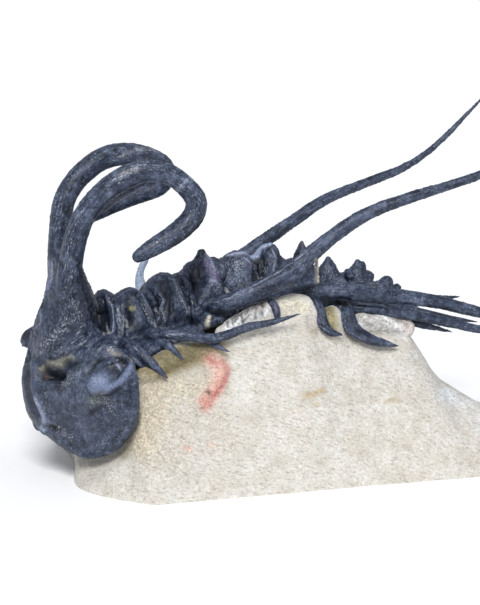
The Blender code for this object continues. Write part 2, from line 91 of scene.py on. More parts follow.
# Shares of the sediment that lies in hollows of the tail shield and of the head
TAIL_DUST = 0.6
HEAD_DUST = 0.25

# Along the grain, each spine's streaks start this far past the last one's, so that no two match
SPINE_APART = 7.0

# A ring: half width between its furrows, how far its sides sweep forward, how far it passes under
# its neighbours, how deep its ends are, the height left there, sections along it, and how it rolls
RING_HALF_WIDTH = 3.9
RING_SWEEP = 0.9
RING_OVERLAP = 0.16
RING_GROOVE = 0.5
RING_END_LIFT = 0.62
RING_SECTIONS = 13
RING_SKEW = 1.35
RING_ROUNDNESS = 2.6
# A pointed node from its foot up: share of its height, and of its half width
CONE_PROFILE = (
    (0.0, 1.0), (0.2, 0.88), (0.4, 0.72), (0.6, 0.53), (0.75, 0.37), (0.86, 0.25), (0.93, 0.19), (0.98, 0.11),
)
RIB_DEPTH = 0.09
CONE_RIBS = 7
CONE_ROOT = 0.3
# Ends of a tube past its last points, as shares of its radius there
BLUNT_TIP = 0.9
SHARP_TIP = 1.5
ROOT_END = 0.5
# How far each node's top leans towards the tail, as a share of its height
NODE_LEAN = (0.1, 0.55, 0.55, 0.0, 0.1, 0.45, 0.0, 0.0, 0.0)
# Lobes beside a node: centre and half widths
NODE_LOBES = {
    3: (((-10.9, -0.4, 17.9), (0.55, 1.8, 1.3)),),
    4: (((-9.4, 0.0, 18.5), (1.1, 1.7, 1.5)), ((-7.4, -0.2, 18.9), (1.2, 1.8, 1.3))),
    7: (((3.7, -1.2, 17.3), (0.16, 0.32, 1.35)),),
    9: (((9.55, 0.0, 16.0), (0.35, 0.5, 0.95)), ((8.1, 0.0, 15.6), (0.5, 0.9, 0.6)),
        ((10.3, 0.0, 15.2), (0.5, 0.8, 0.5))),
}
# The near eye is smooth out to where the face's grit starts, and the cheeks are smoother than the brow
EYE_FADE = (1.05, 1.35)
FACE_FADE = (11.0, 15.0)
# The ring whose far spine stands pale with haze, and how pale
HAZY_RING = 3
HAZE_COVER = 0.75
# Slants of the streaks in degrees, and the height above which those of the head stand upright
HEAD_STREAK_SLANT = 38.0
HEAD_STREAK_TURN = 17.2
FACE_STREAK_STRETCH = 0.45
ROCK_DASH_SLOPE = 14.0
# How much of a bank's form is left after wear, and how far from its middle it fades out
BANK_CRISPNESS = 0.75
BANK_FADE = (1.0, 2.2)
# Where the rock's rear is worn smooth: along X, and up to these heights
REAR_FADE = (11.0, 14.0)
REAR_TOP_FADE = (6.0, 9.0)
# Heights over the floor between which the rock's roughness starts
FOOT_FADE = (0.2, 1.6)

# Marks are spread this much wider than their half width, because ragged edges eat into them
MARK_SPREAD = 1.15
# How much sooner than its cover a mark's own colour is full, whether stain, painted highlight or painted
# shade, and the grey that it starts from
MARK_BODY = 3.0
UNSTAINED = 0.1
# The picture is searched for what hides what in cells of so many pixels, to such a depth
SIGHT_CELL = 3
SIGHT_DEPTH = 1.1
FAN_STEPS = 8
FAN_WANDER = 0.35
FAN_SEED = 900
# The surface between a fan's lines goes the other way by this share of their height
FAN_SHOULDER = 0.4

FLOOR_HALF = 6.0
SKY_STRENGTH = 0.45
# Name, angles, spread in degrees and strength
LAMPS = (
    ("key", (46, 0, -32), 22, 3.1),
    ("fill", (60, 0, 35), 90, 0.25),
)
# Points over a ring from its near furrow to its far one, as shares of its half width and height
RING_ARCH = (
    (1.0, 0.0), (0.88, 0.45), (0.6, 0.82), (0.3, 0.97), (0.0, 1.0),
    (-0.3, 0.97), (-0.6, 0.8), (-0.88, 0.38), (-1.0, -0.1),
)
# Middle of the head shield in front and behind, and its swelling and margin
HEAD_CENTRE = (-26.7, 0.0, 10.5)
SHIELD_BACK = (-22.6, 0.0, 11.0)
SHIELD_RINGS = 16
GLABELLA_BULGE = 1.1
GLABELLA_HALF_WIDTH = 2.8
MARGIN_LIP = 0.6
LIP_SHARE = 0.97
# The rock is drawn down to here and then cut off level with the floor
ROCK_BOTTOM = -9.0
ROCK_ENDS = ((-25.8, 0.0, -4.5), (22.8, -8.0, -4.5))

Segment = namedtuple("Segment", "front rear crown furrow swell near_edge far_edge")
Node = namedtuple("Node", "x z radius_x radius_y height")

# Front and rear of each thoracic ring on the midline, height of its crown, height of the furrow
# beside it, swell of the pleura beyond the furrow, and how far each pleura reaches
SEGMENTS = (
    Segment(-19.4, -17.7, 18.3, 14.6, 0.9, 7.8, 7.4),
    Segment(-17.4, -14.4, 18.0, 14.8, 1.0, 8.2, 7.8),
    Segment(-14.1, -10.6, 18.9, 15.2, 0.9, 8.2, 7.6),
    Segment(-10.3, -6.8, 19.3, 16.4, 0.6, 6.6, 6.2),
    Segment(-6.5, -2.9, 19.4, 17.2, 0.3, 6.1, 5.9),
    Segment(-2.6, 0.8, 19.3, 17.2, 0.2, 6.2, 5.9),
    Segment(1.1, 4.0, 17.9, 16.2, 0.2, 6.8, 5.9),
    Segment(4.3, 7.2, 16.3, 15.0, 0.2, 6.6, 5.9),
    Segment(7.5, 10.7, 15.3, 13.9, 0.1, 6.2, 5.9),
)

# The knob or cone on each ring's midline: where it stands, its half widths and its height
NODES = (
    Node(-19.0, 18.7, 0.8, 1.5, 1.2),
    Node(-16.1, 18.4, 1.2, 1.7, 1.3),
    Node(-12.4, 19.3, 1.4, 1.9, 1.4),
    Node(-8.5, 21.2, 2.0, 1.8, 3.2),
    Node(-4.6, 20.3, 1.6, 1.9, 1.8),
    Node(-0.9, 20.5, 1.45, 1.8, 2.0),
    Node(2.6, 20.3, 1.2, 1.4, 3.2),
    Node(5.6, 18.1, 1.45, 1.4, 2.6),
    Node(9.0, 17.2, 1.5, 1.4, 2.6),
)
# Numbers of the rings whose node is a cone
POINTED_NODES = (4, 7, 8, 9)

# Spines as (x, y, z, radius), from the root inside the shell to the tip
NEAR_SPINES = {
    1: (
        ((-19.5, -5.5, 15.2, 0.65), (-19.3, -7.6, 15.5, 0.62), (-18.4, -9.5, 14.5, 0.55),
         (-17.1, -10.3, 13.1, 0.15)),
        ((-19.7, -6.2, 14.9, 0.55), (-19.6, -8.0, 14.6, 0.45), (-19.0, -9.4, 14.0, 0.12)),
    ),
    2: (
        ((-16.6, -5.0, 15.4, 0.6), (-16.8, -7.2, 16.4, 0.55), (-14.6, -9.3, 16.6, 0.5),
         (-11.7, -9.7, 15.9, 0.52), (-8.3, -9.9, 16.5, 0.45), (-5.8, -10.6, 16.9, 0.32),
         (-3.2, -11.2, 17.5, 0.1)),
        ((-16.7, -6.5, 15.6, 0.5), (-16.2, -8.8, 15.6, 0.45), (-15.2, -10.4, 14.5, 0.1)),
    ),
    3: (
        ((-13.2, -6.5, 15.6, 0.6), (-12.2, -8.8, 15.4, 0.42), (-10.5, -10.6, 14.6, 0.1)),
    ),
    4: (
        ((-10.0, -4.5, 17.0, 0.75), (-9.3, -7.0, 18.2, 0.85), (-7.1, -8.0, 19.1, 0.95),
         (-3.3, -9.0, 20.9, 0.98), (-0.3, -9.5, 23.4, 0.79), (3.8, -10.0, 25.9, 0.69),
         (7.9, -10.5, 27.1, 0.6), (12.0, -11.0, 27.9, 0.52), (16.2, -11.5, 28.8, 0.46),
         (21.0, -12.0, 30.4, 0.38), (26.0, -12.5, 32.6, 0.26), (29.5, -12.8, 34.6, 0.1)),
    ),
    5: (
        ((-5.2, -6.3, 17.2, 0.6), (-5.0, -8.2, 17.9, 0.5), (-4.9, -9.1, 17.5, 0.44),
         (-4.9, -9.5, 16.8, 0.34), (-4.9, -9.6, 16.4, 0.15)),
    ),
    6: (
        ((-0.7, -5.8, 16.8, 0.7), (0.0, -7.3, 17.0, 0.68), (0.1, -8.7, 16.3, 0.6),
         (0.0, -9.7, 15.4, 0.55), (0.5, -10.3, 14.6, 0.45), (1.6, -10.6, 14.2, 0.12)),
        ((-2.0, -5.0, 17.2, 0.6), (-0.1, -6.7, 17.7, 0.7), (1.8, -7.2, 17.6, 0.84),
         (4.0, -7.8, 17.3, 0.88), (7.1, -8.2, 16.5, 0.86), (9.7, -8.5, 16.0, 0.76),
         (13.7, -8.8, 14.8, 0.68), (18.2, -9.1, 13.0, 0.58), (25.5, -9.4, 10.2, 0.12)),
    ),
    7: (
        ((2.8, -5.8, 15.6, 0.7), (3.4, -7.4, 15.6, 0.74), (3.1, -8.6, 15.5, 0.82),
         (2.9, -9.5, 15.1, 0.84), (3.3, -10.1, 14.2, 0.74), (4.5, -10.5, 13.3, 0.6),
         (6.2, -10.7, 12.5, 0.42), (7.9, -10.7, 11.9, 0.12)),
        ((2.0, -5.0, 15.4, 0.6), (3.0, -6.4, 15.5, 0.5), (5.0, -7.7, 15.3, 0.48), (8.0, -8.7, 14.75, 0.5),
         (12.5, -9.3, 13.4, 0.5), (18.2, -9.9, 11.4, 0.42), (23.0, -10.2, 9.7, 0.1)),
    ),
    8: (
        ((5.0, -5.3, 14.5, 0.55), (5.6, -7.0, 14.7, 0.5), (7.6, -7.6, 14.2, 0.5),
         (11.0, -8.0, 12.9, 0.5), (15.3, -8.5, 11.2, 0.12)),
    ),
    9: (
        ((8.2, -4.6, 13.3, 0.55), (9.2, -6.1, 13.3, 0.5), (12.0, -6.6, 12.9, 0.5),
         (17.0, -7.3, 11.3, 0.4), (21.5, -7.7, 9.7, 0.1)),
    ),
}
FAR_SPINES = {
    1: (
        ((-19.5, 5.2, 14.3, 0.6), (-19.3, 7.2, 14.1, 0.55), (-18.6, 9.2, 12.6, 0.12)),
    ),
    2: (
        ((-16.8, 5.4, 14.5, 0.55), (-16.6, 7.8, 14.3, 0.5), (-15.6, 9.6, 12.6, 0.12)),
    ),
    3: (
        ((-13.3, 5.4, 14.4, 0.6), (-12.4, 7.0, 14.2, 0.62), (-11.5, 8.2, 14.6, 0.6),
         (-11.3, 8.9, 15.5, 0.47), (-10.9, 9.4, 16.2, 0.4), (-10.2, 9.9, 16.9, 0.37),
         (-9.5, 10.3, 17.6, 0.3), (-9.0, 10.6, 18.3, 0.1)),
    ),
    4: (
        ((-9.8, 4.2, 15.4, 0.65), (-8.6, 6.7, 15.4, 0.68), (-4.0, 7.7, 15.6, 0.74),
         (-0.4, 8.0, 16.2, 0.77), (1.9, 8.2, 17.2, 0.75), (5.8, 8.8, 18.7, 0.68), (9.3, 9.1, 20.2, 0.62),
         (12.5, 9.5, 20.9, 0.56), (19.3, 10.0, 22.1, 0.44), (22.4, 10.3, 23.2, 0.35),
         (25.0, 10.6, 24.7, 0.31), (28.0, 11.0, 26.8, 0.24), (30.5, 11.3, 28.6, 0.08)),
    ),
    5: (
        ((-5.6, 4.2, 15.3, 0.55), (-5.4, 6.2, 13.9, 0.45), (-4.8, 7.8, 12.2, 0.12)),
    ),
    6: (
        ((-1.9, 4.2, 15.2, 0.6), (-1.6, 6.2, 13.8, 0.45), (-0.5, 7.8, 12.2, 0.12)),
    ),
    7: (
        ((1.6, 4.2, 14.7, 0.6), (2.4, 6.8, 14.3, 0.6), (5.4, 8.4, 13.5, 0.55), (10.4, 8.8, 11.7, 0.58),
         (17.5, 8.3, 9.2, 0.5), (22.0, 7.5, 8.0, 0.36), (25.2, 7.0, 7.7, 0.12)),
    ),
    8: (
        ((4.8, 4.2, 13.6, 0.55), (5.4, 6.2, 12.9, 0.5), (7.2, 7.0, 12.2, 0.48), (9.4, 7.2, 11.2, 0.42),
         (13.0, 7.1, 9.8, 0.4), (17.5, 6.8, 8.2, 0.12)),
    ),
    9: (
        ((8.2, 4.0, 12.7, 0.5), (9.3, 5.4, 12.2, 0.45), (10.8, 5.6, 11.7, 0.45), (13.4, 5.7, 10.9, 0.42),
         (19.0, 5.4, 9.2, 0.38), (24.4, 5.0, 7.8, 0.1)),
    ),
}
# The tail shield's sections: x, height on the midline, height at the side, half width
PYGIDIUM = (
    (11.0, 14.2, 12.6, 5.0), (12.3, 14.0, 12.2, 4.8), (14.0, 12.8, 11.4, 4.0), (15.6, 11.6, 10.7, 2.6),
)
PYGIDIUM_THICKNESS = 1.1
PYGIDIUM_ENDS = ((10.9, 0.0, 12.8), (16.0, 0.0, 10.9))
# Its axial nodes: centre and radii
PYGIDIUM_NODE_LEAN = 0.2
PYGIDIUM_NODES = (((12.3, 0.0, 13.9), (0.75, 0.9, 0.85)), ((13.5, 0.0, 13.1), (0.5, 0.6, 0.6)))
PYGIDIUM_SPINES = (
    ((13.0, -2.4, 11.9, 0.6), (16.5, -3.6, 10.9, 0.45), (21.0, -4.0, 9.6, 0.1)),
    ((13.0, 2.4, 11.5, 0.6), (16.5, 3.2, 10.2, 0.45), (20.5, 3.4, 8.9, 0.1)),
)

NEAR_HORN = (
    (-23.1, -1.2, 18.6, 1.4), (-23.4, -1.5, 20.6, 1.28), (-23.2, -1.8, 23.0, 1.16), (-22.9, -2.2, 25.3, 1.12),
    (-22.3, -2.6, 27.4, 1.08), (-21.3, -3.0, 29.1, 1.05), (-19.9, -3.4, 30.5, 1.08), (-18.2, -3.8, 31.5, 1.1),
    (-16.4, -4.3, 32.0, 1.08), (-14.4, -4.9, 31.6, 1.0), (-12.8, -5.4, 30.3, 1.0), (-11.8, -5.8, 28.7, 1.04),
    (-12.3, -6.0, 27.2, 1.05), (-14.1, -6.1, 25.9, 1.0), (-16.2, -6.0, 24.9, 0.88),
    (-17.3, -6.0, 24.45, 0.76), (-18.1, -6.0, 24.1, 0.58),
)
FAR_HORN = (
    (-22.7, 1.2, 17.8, 1.45), (-22.8, 1.7, 19.8, 1.35), (-22.8, 2.0, 21.8, 1.22), (-22.6, 2.3, 24.2, 1.12),
    (-22.3, 2.5, 26.4, 1.08), (-21.6, 2.7, 28.2, 1.06), (-20.2, 2.9, 29.7, 1.07), (-18.2, 3.2, 30.8, 1.1),
    (-16.4, 3.5, 31.1, 1.12), (-14.4, 3.9, 30.8, 1.1), (-12.3, 4.4, 30.0, 1.04), (-10.5, 4.9, 28.8, 1.0),
    (-9.9, 5.2, 27.4, 0.98), (-10.7, 5.5, 26.3, 0.96), (-12.5, 5.8, 25.8, 0.95), (-14.9, 6.0, 25.2, 0.92),
    (-16.9, 6.2, 24.5, 0.85), (-17.7, 6.2, 24.1, 0.7),
)
# Height, centre x and half widths of the column that carries both horns
TRUNK = (
    (12.5, -24.0, 2.6, 3.6), (15.5, -23.1, 2.9, 3.7), (18.2, -22.7, 2.4, 3.1), (20.0, -22.8, 2.0, 2.7),
    (21.6, -22.9, 1.45, 2.3), (22.8, -23.0, 1.1, 2.1),
)
TRUNK_ENDS = ((-24.0, 0.0, 12.0), (-23.0, 0.0, 23.1))
TRUNK_SIDES = 36
# Left half of the head shield's edge, from the nape round the cheek to the chin, as (x, y, z)
SHIELD_EDGE = (
    (-21.9, 0.0, 16.6), (-21.5, -4.2, 16.2), (-21.2, -8.0, 15.8), (-21.1, -10.9, 15.5), (-21.3, -12.3, 13.9),
    (-21.4, -12.6, 11.9), (-21.5, -12.3, 10.0), (-21.8, -11.5, 8.3), (-22.3, -10.3, 6.6), (-23.1, -8.8, 5.3),
    (-24.1, -7.0, 4.5), (-25.0, -4.5, 4.3), (-25.8, -2.0, 4.8), (-26.0, 0.0, 5.1),
)
FAR_CHEEK_SHARE = 0.86
SHIELD_FULLNESS = 1.6
# The raised rim behind the head, from the foot of the horns down the nape and out to the near side
NAPE_RIM = (
    (-21.65, 0.1, 21.5, 0.12), (-21.2, 0.1, 20.2, 0.15), (-20.75, 0.1, 19.0, 0.17), (-20.4, 0.1, 18.1, 0.18),
    (-20.2, 0.0, 17.3, 0.18), (-20.17, -0.25, 16.57, 0.18), (-20.11, -0.6, 15.6, 0.18),
    (-20.3, -1.6, 15.07, 0.18), (-20.4, -3.5, 15.5, 0.16), (-20.8, -5.0, 15.7, 0.12),
)

# The eyes as a dome with a tapering ridge behind it, and the knob under the chin
NEAR_EYE_DOME = ((-23.7, -8.5, 13.0), (1.05, 1.1, 1.2))
NEAR_EYE_TOP = ((-22.4, -8.9, 14.0), (1.1, 1.0, 1.1))
NEAR_EYE = (
    (-23.5, -8.9, 13.0, 0.8), (-22.9, -9.6, 13.3, 0.6), (-22.2, -10.2, 13.9, 0.45),
    (-21.5, -10.8, 14.6, 0.4), (-21.0, -11.1, 15.3, 0.3),
)
FAR_EYE = (
    (-24.4, 7.4, 11.2, 0.7), (-23.8, 7.8, 11.6, 0.9), (-22.9, 8.2, 12.0, 0.7), (-21.9, 8.6, 12.6, 0.35),
)
CHIN_KNOB = ((-26.1, 0.2, 5.7), (0.7, 0.8, 0.6))

# Sections across the rock: x, height of its top, then (y, z) of the shoulder and y of the foot, on
# the near side and on the far side
ROCK = (
    (-25.2, 1.4, (-7.4, 1.2), -9.6, (-6.0, 0.8), -5.6),
    (-24.2, 2.6, (-9.0, 2.8), -12.4, (-3.8, 1.8), -3.2),
    (-22.8, 3.8, (-10.3, 4.6), -14.5, (-1.0, 2.8), -0.4),
    (-21.4, 5.2, (-11.2, 6.4), -16.2, (2.6, 4.4), 3.4),
    (-20.7, 7.6, (-11.2, 9.6), -16.8, (5.8, 6.8), 6.6),
    (-20.3, 12.6, (-9.6, 13.4), -16.8, (8.2, 10.6), 9.6),
    (-18.4, 12.8, (-9.0, 13.2), -17.0, (9.0, 11.2), 12.6),
    (-15.8, 13.0, (-9.2, 13.7), -17.2, (9.2, 11.4), 14.6),
    (-12.5, 12.9, (-9.3, 13.9), -17.6, (9.4, 11.6), 14.8),
    (-9.0, 14.0, (-9.4, 15.0), -18.0, (8.4, 11.6), 14.8),
    (-5.5, 15.2, (-9.7, 15.8), -18.4, (8.4, 11.4), 14.8),
    (-2.4, 15.2, (-9.8, 15.9), -18.8, (8.4, 11.2), 14.6),
    (0.2, 14.2, (-9.2, 14.5), -19.2, (8.4, 11.0), 14.4),
    (3.8, 12.7, (-9.2, 13.3), -19.8, (8.4, 10.6), 14.0),
    (7.8, 11.6, (-9.4, 12.3), -20.4, (8.0, 9.8), 13.4),
    (10.0, 10.9, (-8.9, 11.8), -20.8, (7.4, 8.6), 12.6),
    (11.2, 10.3, (-7.8, 11.2), -21.1, (6.8, 7.0), 12.0),
    (12.3, 8.6, (-8.8, 8.6), -21.2, (6.5, 6.3), 11.7),
    (13.6, 6.6, (-10.1, 6.5), -21.2, (6.1, 5.3), 11.2),
    (15.6, 5.0, (-11.6, 5.6), -21.4, (4.6, 2.0), 9.6),
    (19.0, 1.5, (-12.6, 4.4), -21.0, (2.4, -1.2), 6.4),
    (22.0, -0.8, (-12.2, 2.2), -18.6, (-1.0, -2.6), 3.0),
)

# Banks of rock along the flank that still hold the pleurae and spines, as (x, y, z, radius)
ROCK_BANKS = (
    ((-19.6, -9.4, 12.9, 0.95), (-17.2, -9.1, 14.1, 1.05), (-14.5, -8.6, 14.6, 1.0),
     (-12.0, -8.5, 14.5, 0.95), (-10.0, -8.6, 14.6, 0.9)),
    ((-10.6, -8.4, 15.3, 0.9), (-8.6, -8.3, 16.2, 1.0), (-7.0, -8.3, 17.0, 1.0), (-4.0, -8.1, 17.3, 1.0),
     (-1.8, -8.0, 17.3, 1.0), (-0.7, -8.4, 15.8, 1.1)),
    ((-11.0, -8.3, 14.2, 0.9), (-8.6, -8.4, 15.0, 1.0), (-5.5, -8.6, 15.7, 1.1), (-2.5, -8.6, 15.9, 1.1),
     (-0.7, -8.5, 15.0, 1.0)),
    ((1.2, -9.0, 13.4, 1.5), (1.4, -8.8, 14.5, 1.35), (1.7, -8.3, 15.5, 1.1)),
    ((4.4, -8.3, 14.1, 1.0), (6.0, -8.3, 13.8, 1.15), (8.0, -8.3, 13.2, 1.15), (10.0, -8.2, 12.4, 1.0)),
)

# The photograph's view of the animal: angles in degrees, the point it looks at and its distance
# in millimetres, and its frame in pixels
VIEW_AZIMUTH = -26.0
VIEW_ELEVATION = 22.0
VIEW_AIM = (-4.3, 0.0, 14.8)
VIEW_DISTANCE = 300.0
PIXELS_PER_MM = 10.0
PICTURE_WIDTH = 480
PICTURE_HEIGHT = 605
SENSOR = 36.0

# Marks on the surface are placed where they show in that view, in its pixels. A relief is a
# height in millimetres (hollows are negative), a half width in pixels and the points of its line. A
# stain is a colour, how fully it covers, a half width and its points. Frost is how thickly fine pale
# scratches lie, a half width and its points. A fan is a count of thin lines from one line to another.
# Some stains are painted highlights and painted shade, as noted where they are listed, and the frost on the
# horns stands for painted highlights as well as scratches.
Fan = namedtuple("Fan", "colour cover height reach count first last")

# Colours of the shell from its darkest to its palest tone, and of what lies on it
SHELL_TONES = (
    (0.38, (0.006, 0.009, 0.018)), (0.46, (0.018, 0.026, 0.048)), (0.53, (0.040, 0.054, 0.092)),
    (0.60, (0.086, 0.106, 0.162)), (0.73, (0.20, 0.24, 0.32)),
)
FLECK = (0.33, 0.38, 0.47)
# The pale of the scratches, which on the horns' tops is a painted highlight as well
PALE_SCRATCH_AND_HIGHLIGHT = (0.32, 0.36, 0.43)
SEDIMENT = (0.26, 0.27, 0.28)
# Colours of the rock, and how its dashes and specks tint it
ROCK_TONES = ((0.36, (0.52, 0.490, 0.430)), (0.5, (0.57, 0.545, 0.49)), (0.64, (0.61, 0.590, 0.545)))
DARK_DASH = (0.56, 0.50, 0.44)
PALE_DASH = (1.22, 1.24, 1.26)
WARM_DASH = (0.92, 0.72, 0.56)
DARK_SPECK = (0.28, 0.25, 0.23)
FLOOR_TONES = ((0.3, (0.92, 0.92, 0.92)), (0.7, (0.94, 0.94, 0.94)))
SKY_COLOUR = (0.92, 0.96, 1.05)
# Colours of the stains, and of the painted shade, painted highlights and painted glints laid with them
# Near black painted shade, laid in furrows, pits, grooves, the gap under the hook and on the shaded sides of
# the face, nodes and horns
SHADE_BLACK = (0.006, 0.008, 0.015)
# Laid only as painted shade in the furrow arching round the near eye
TEAL_BLACK = (0.007, 0.013, 0.018)
BROWN_BLACK = (0.014, 0.009, 0.007)
BROWN = (0.10, 0.060, 0.040)
# Pale painted highlights on the near eye, the chin knob, the cheek's border, the sixth node's rim and the
# near horn
HIGHLIGHT_BLUE = (0.24, 0.29, 0.42)
# Small painted glints
GLINT_BLUE = (0.50, 0.55, 0.68)
SLATE = (0.060, 0.072, 0.120)
# Painted highlights along crests, rims, the near horn and the edges of spines and hooks, and pale scratch
# streaks along the rear spines
HIGHLIGHT_AND_SCRATCH_BLUE = (0.24, 0.27, 0.37)
# Warm painted highlights along the raised rear margins, a ridge and the near horn's top, and one pale
# scratchy patch
WARM_HIGHLIGHT_AND_SCRATCH = (0.33, 0.33, 0.32)
EYE_BLUE = (0.135, 0.165, 0.260)
# Lilac painted highlights on a thorn, a hook and a raised bump among the rings
LILAC_HIGHLIGHT = (0.190, 0.160, 0.290)
LILAC_GREY = (0.150, 0.165, 0.250)
HAZE = (0.36, 0.43, 0.56)
CREAM = (0.56, 0.52, 0.40)
BRIGHT_CREAM = (0.68, 0.66, 0.54)
WARM_GREY = (0.30, 0.28, 0.26)
FLAKE_GREY = (0.175, 0.160, 0.155)
DEEP_GREY = (0.085, 0.085, 0.095)
OLIVE = (0.23, 0.22, 0.12)
MOSS = (0.085, 0.105, 0.085)
CHALK = (0.72, 0.73, 0.74)
TAN = (0.22, 0.18, 0.095)
SAND = (0.49, 0.435, 0.335)
RUST = (0.42, 0.165, 0.135)
ROSE = (0.62, 0.36, 0.30)
ORANGE = (0.40, 0.31, 0.18)
YELLOW = (0.30, 0.27, 0.15)
OLIVE_BROWN = (0.19, 0.165, 0.09)
SHADE = (0.49, 0.455, 0.395)
COOL_WHITE = (0.70, 0.75, 0.80)

# Lines over the head that more than one mark follows
HEAD_RIDGE = ((33, 362), (35, 376), (33.5, 386), (35.7, 398), (41, 409), (46, 423))
HEAD_RIM = ((51, 281), (47, 291), (43, 302), (41, 322), (32, 333), (23, 346))
REAR_MARGIN = ((84, 266), (90, 284), (97, 305), (100, 322), (104, 334), (111, 333))
EYE_ARCH = ((86, 382), (88.5, 371), (95, 361), (105, 355), (114, 353), (122, 358), (127, 365))
EYE_TAIL = ((107, 390), (115, 386), (122, 380), (127, 373), (130, 366))
CHIN_HOLLOW = ((51, 428.5), (57, 430))
CHEEK_DENT = ((91, 413), (101, 407.5), (109, 403))
CHEEK_LINE = (
    (127, 386), (130, 400), (127, 418), (118, 437), (105, 448), (90, 453), (72, 446), (59, 437),
)
HEAD_RELIEF = (
    (0.28, 3.2, *HEAD_RIDGE),
    (-0.24, 4.5, (28, 360), (27, 385), (31, 402), (38, 416)),
    (-0.14, 2.2, (40, 386), (42, 400), (46, 412)),
    (0.08, 1.4, (44, 390), (47, 405), (49, 416)),
    (-1.2, 6.5, (47, 375), (57, 376)),
    (0.18, 5.0, (50, 364), (60, 361), (67, 358)),
    (-0.16, 3.0, (57, 369), (66, 366), (76, 360)),
    (-0.38, 2.6, *EYE_ARCH),
    (0.24, 4.0, (99, 350), (110, 347)),
    (-0.25, 2.0, (108, 381), (114, 378), (120, 372), (123, 366)),
    (0.20, 2.6, *EYE_TAIL),
    (0.22, 4.5, (110, 367), (115, 366)),
    (-0.16, 2.0, (99, 398), (110, 394), (120, 388)),
    (-0.24, 3.4, *CHEEK_DENT),
    (-0.16, 3.0, (60, 393), (70, 389), (83, 391)),
    (0.12, 5.0, (74, 384), (80, 378)),
    (-0.16, 1.8, *CHEEK_LINE),
    (0.12, 2.0, (131, 388), (134, 402), (131, 420), (122, 440), (107, 453)),
    (-0.55, 3.0, *CHIN_HOLLOW),
    (0.30, 3.0, (41, 427), (45, 431)),
    (0.16, 1.2, *HEAD_RIM),
    (-0.24, 3.0, (38, 333), (31, 343), (27, 356)),
    (0.18, 1.2, *REAR_MARGIN),
    (-0.3, 2.0, (79, 266), (84, 284), (91, 305), (95, 322), (99, 334)),
    (0.10, 1.5, (60, 262), (59, 285), (56, 305)),
    (0.10, 1.5, (71, 262), (71, 285), (69, 305)),
    (-0.2, 2.0, (48, 300), (45, 318), (38, 330)),
)
# Among the head's stains is painted light: near black painted shade in its furrows, pit, grooves and hollows,
# and pale painted highlights and glints on the near eye, the ridge, the rims, the chin knob and the cheek's
# border
HEAD_STAINS_AND_PAINTED_LIGHT = (
    (SHADE_BLACK, 0.45, 6.0, (28, 358), (26, 380), (30, 400), (38, 414)),
    (SHADE_BLACK, 0.4, 8.0, (47, 398), (56, 412), (66, 424)),
    (SLATE, 0.4, 7.0, (80, 398), (84, 412), (88, 430)),
    (SLATE, 0.5, 3.4, *HEAD_RIDGE),
    (HIGHLIGHT_AND_SCRATCH_BLUE, 0.3, 1.8, (36, 398), (41, 409), (46, 421)),
    (SHADE_BLACK, 1.0, 6.5, (47, 375), (57, 377)),
    (BROWN, 0.2, 1.2, (41.5, 373), (43, 380)),
    (OLIVE, 0.4, 1.6, (40, 369), (43, 366)),
    (CREAM, 0.45, 4.0, (50, 361), (58, 362), (68, 360)),
    (BRIGHT_CREAM, 0.85, 1.5, (50, 359), (54, 362), (61, 364)),
    (BRIGHT_CREAM, 0.65, 1.1, (57, 360), (65, 359), (73, 357)),
    (MOSS, 0.25, 5.0, (68, 364), (76, 361), (80, 368)),
    (SHADE_BLACK, 0.5, 3.2, (56, 371), (63, 375), (60, 388)),
    (TEAL_BLACK, 0.7, 2.6, *EYE_ARCH),
    (LILAC_GREY, 0.3, 3.0, (103, 352), (112, 351)),
    (WARM_GREY, 0.35, 1.6, (109, 350), (114, 352), (120, 353)),
    (ORANGE, 0.4, 1.2, (127, 355), (130, 358), (132, 362)),
    (SHADE_BLACK, 0.8, 6.5, (108, 370), (114, 368), (117, 365)),
    (EYE_BLUE, 0.95, 9.0, (97, 385), (98.5, 384)),
    (EYE_BLUE, 0.9, 3.0, *EYE_TAIL),
    (EYE_BLUE, 0.8, 4.0, (101, 391), (107, 390)),
    (HIGHLIGHT_BLUE, 0.35, 0.8, (108.5, 363), (110, 362.5)),
    (HIGHLIGHT_BLUE, 0.25, 0.9, (117.5, 365), (119, 366), (119.5, 369)),
    (MOSS, 0.6, 4.6, (93, 401), (101, 399)),
    (SHADE_BLACK, 0.6, 2.6, *CHEEK_DENT),
    (SHADE_BLACK, 0.5, 2.0, (99, 399), (110, 395), (120, 388)),
    # Painted shade in the hollow beside the chin knob
    (BROWN_BLACK, 0.8, 3.0, *CHIN_HOLLOW),
    (HIGHLIGHT_BLUE, 0.5, 1.6, (42, 426), (46, 430)),
    (GLINT_BLUE, 0.4, 0.8, (54, 427), (56, 430)),
    (HIGHLIGHT_BLUE, 0.3, 0.9, (99.5, 445), (105.5, 445)),
    (HIGHLIGHT_BLUE, 0.3, 0.9, (116.5, 443), (121, 441)),
    (HIGHLIGHT_AND_SCRATCH_BLUE, 0.45, 0.9, *HEAD_RIM),
    (LILAC_GREY, 0.55, 3.0, (48, 262), (49, 275), (48, 287)),
    (HIGHLIGHT_AND_SCRATCH_BLUE, 0.45, 0.8, (52, 262), (52, 280)),
    (HIGHLIGHT_BLUE, 0.35, 1.2, (62, 299), (65, 295)),
    (GLINT_BLUE, 0.5, 0.8, (86.5, 311.5), (88, 312.5)),
    (SHADE_BLACK, 0.6, 2.4, (80, 262), (85, 284), (92, 305), (96, 322)),
    (WARM_HIGHLIGHT_AND_SCRATCH, 0.9, 1.2, *REAR_MARGIN),
    (LILAC_GREY, 0.3, 2.6, (84, 264), (90, 278), (95, 292)),
    (SHADE_BLACK, 0.6, 3.5, (40, 300), (41, 306)),
    (SHADE_BLACK, 0.5, 15.0, (52, 348), (66, 326), (78, 302)),
    (SHADE_BLACK, 0.4, 9.0, (60, 386), (66, 376), (72, 366)),
    (BROWN_BLACK, 0.5, 6.0, (24, 332), (30, 338)),
)
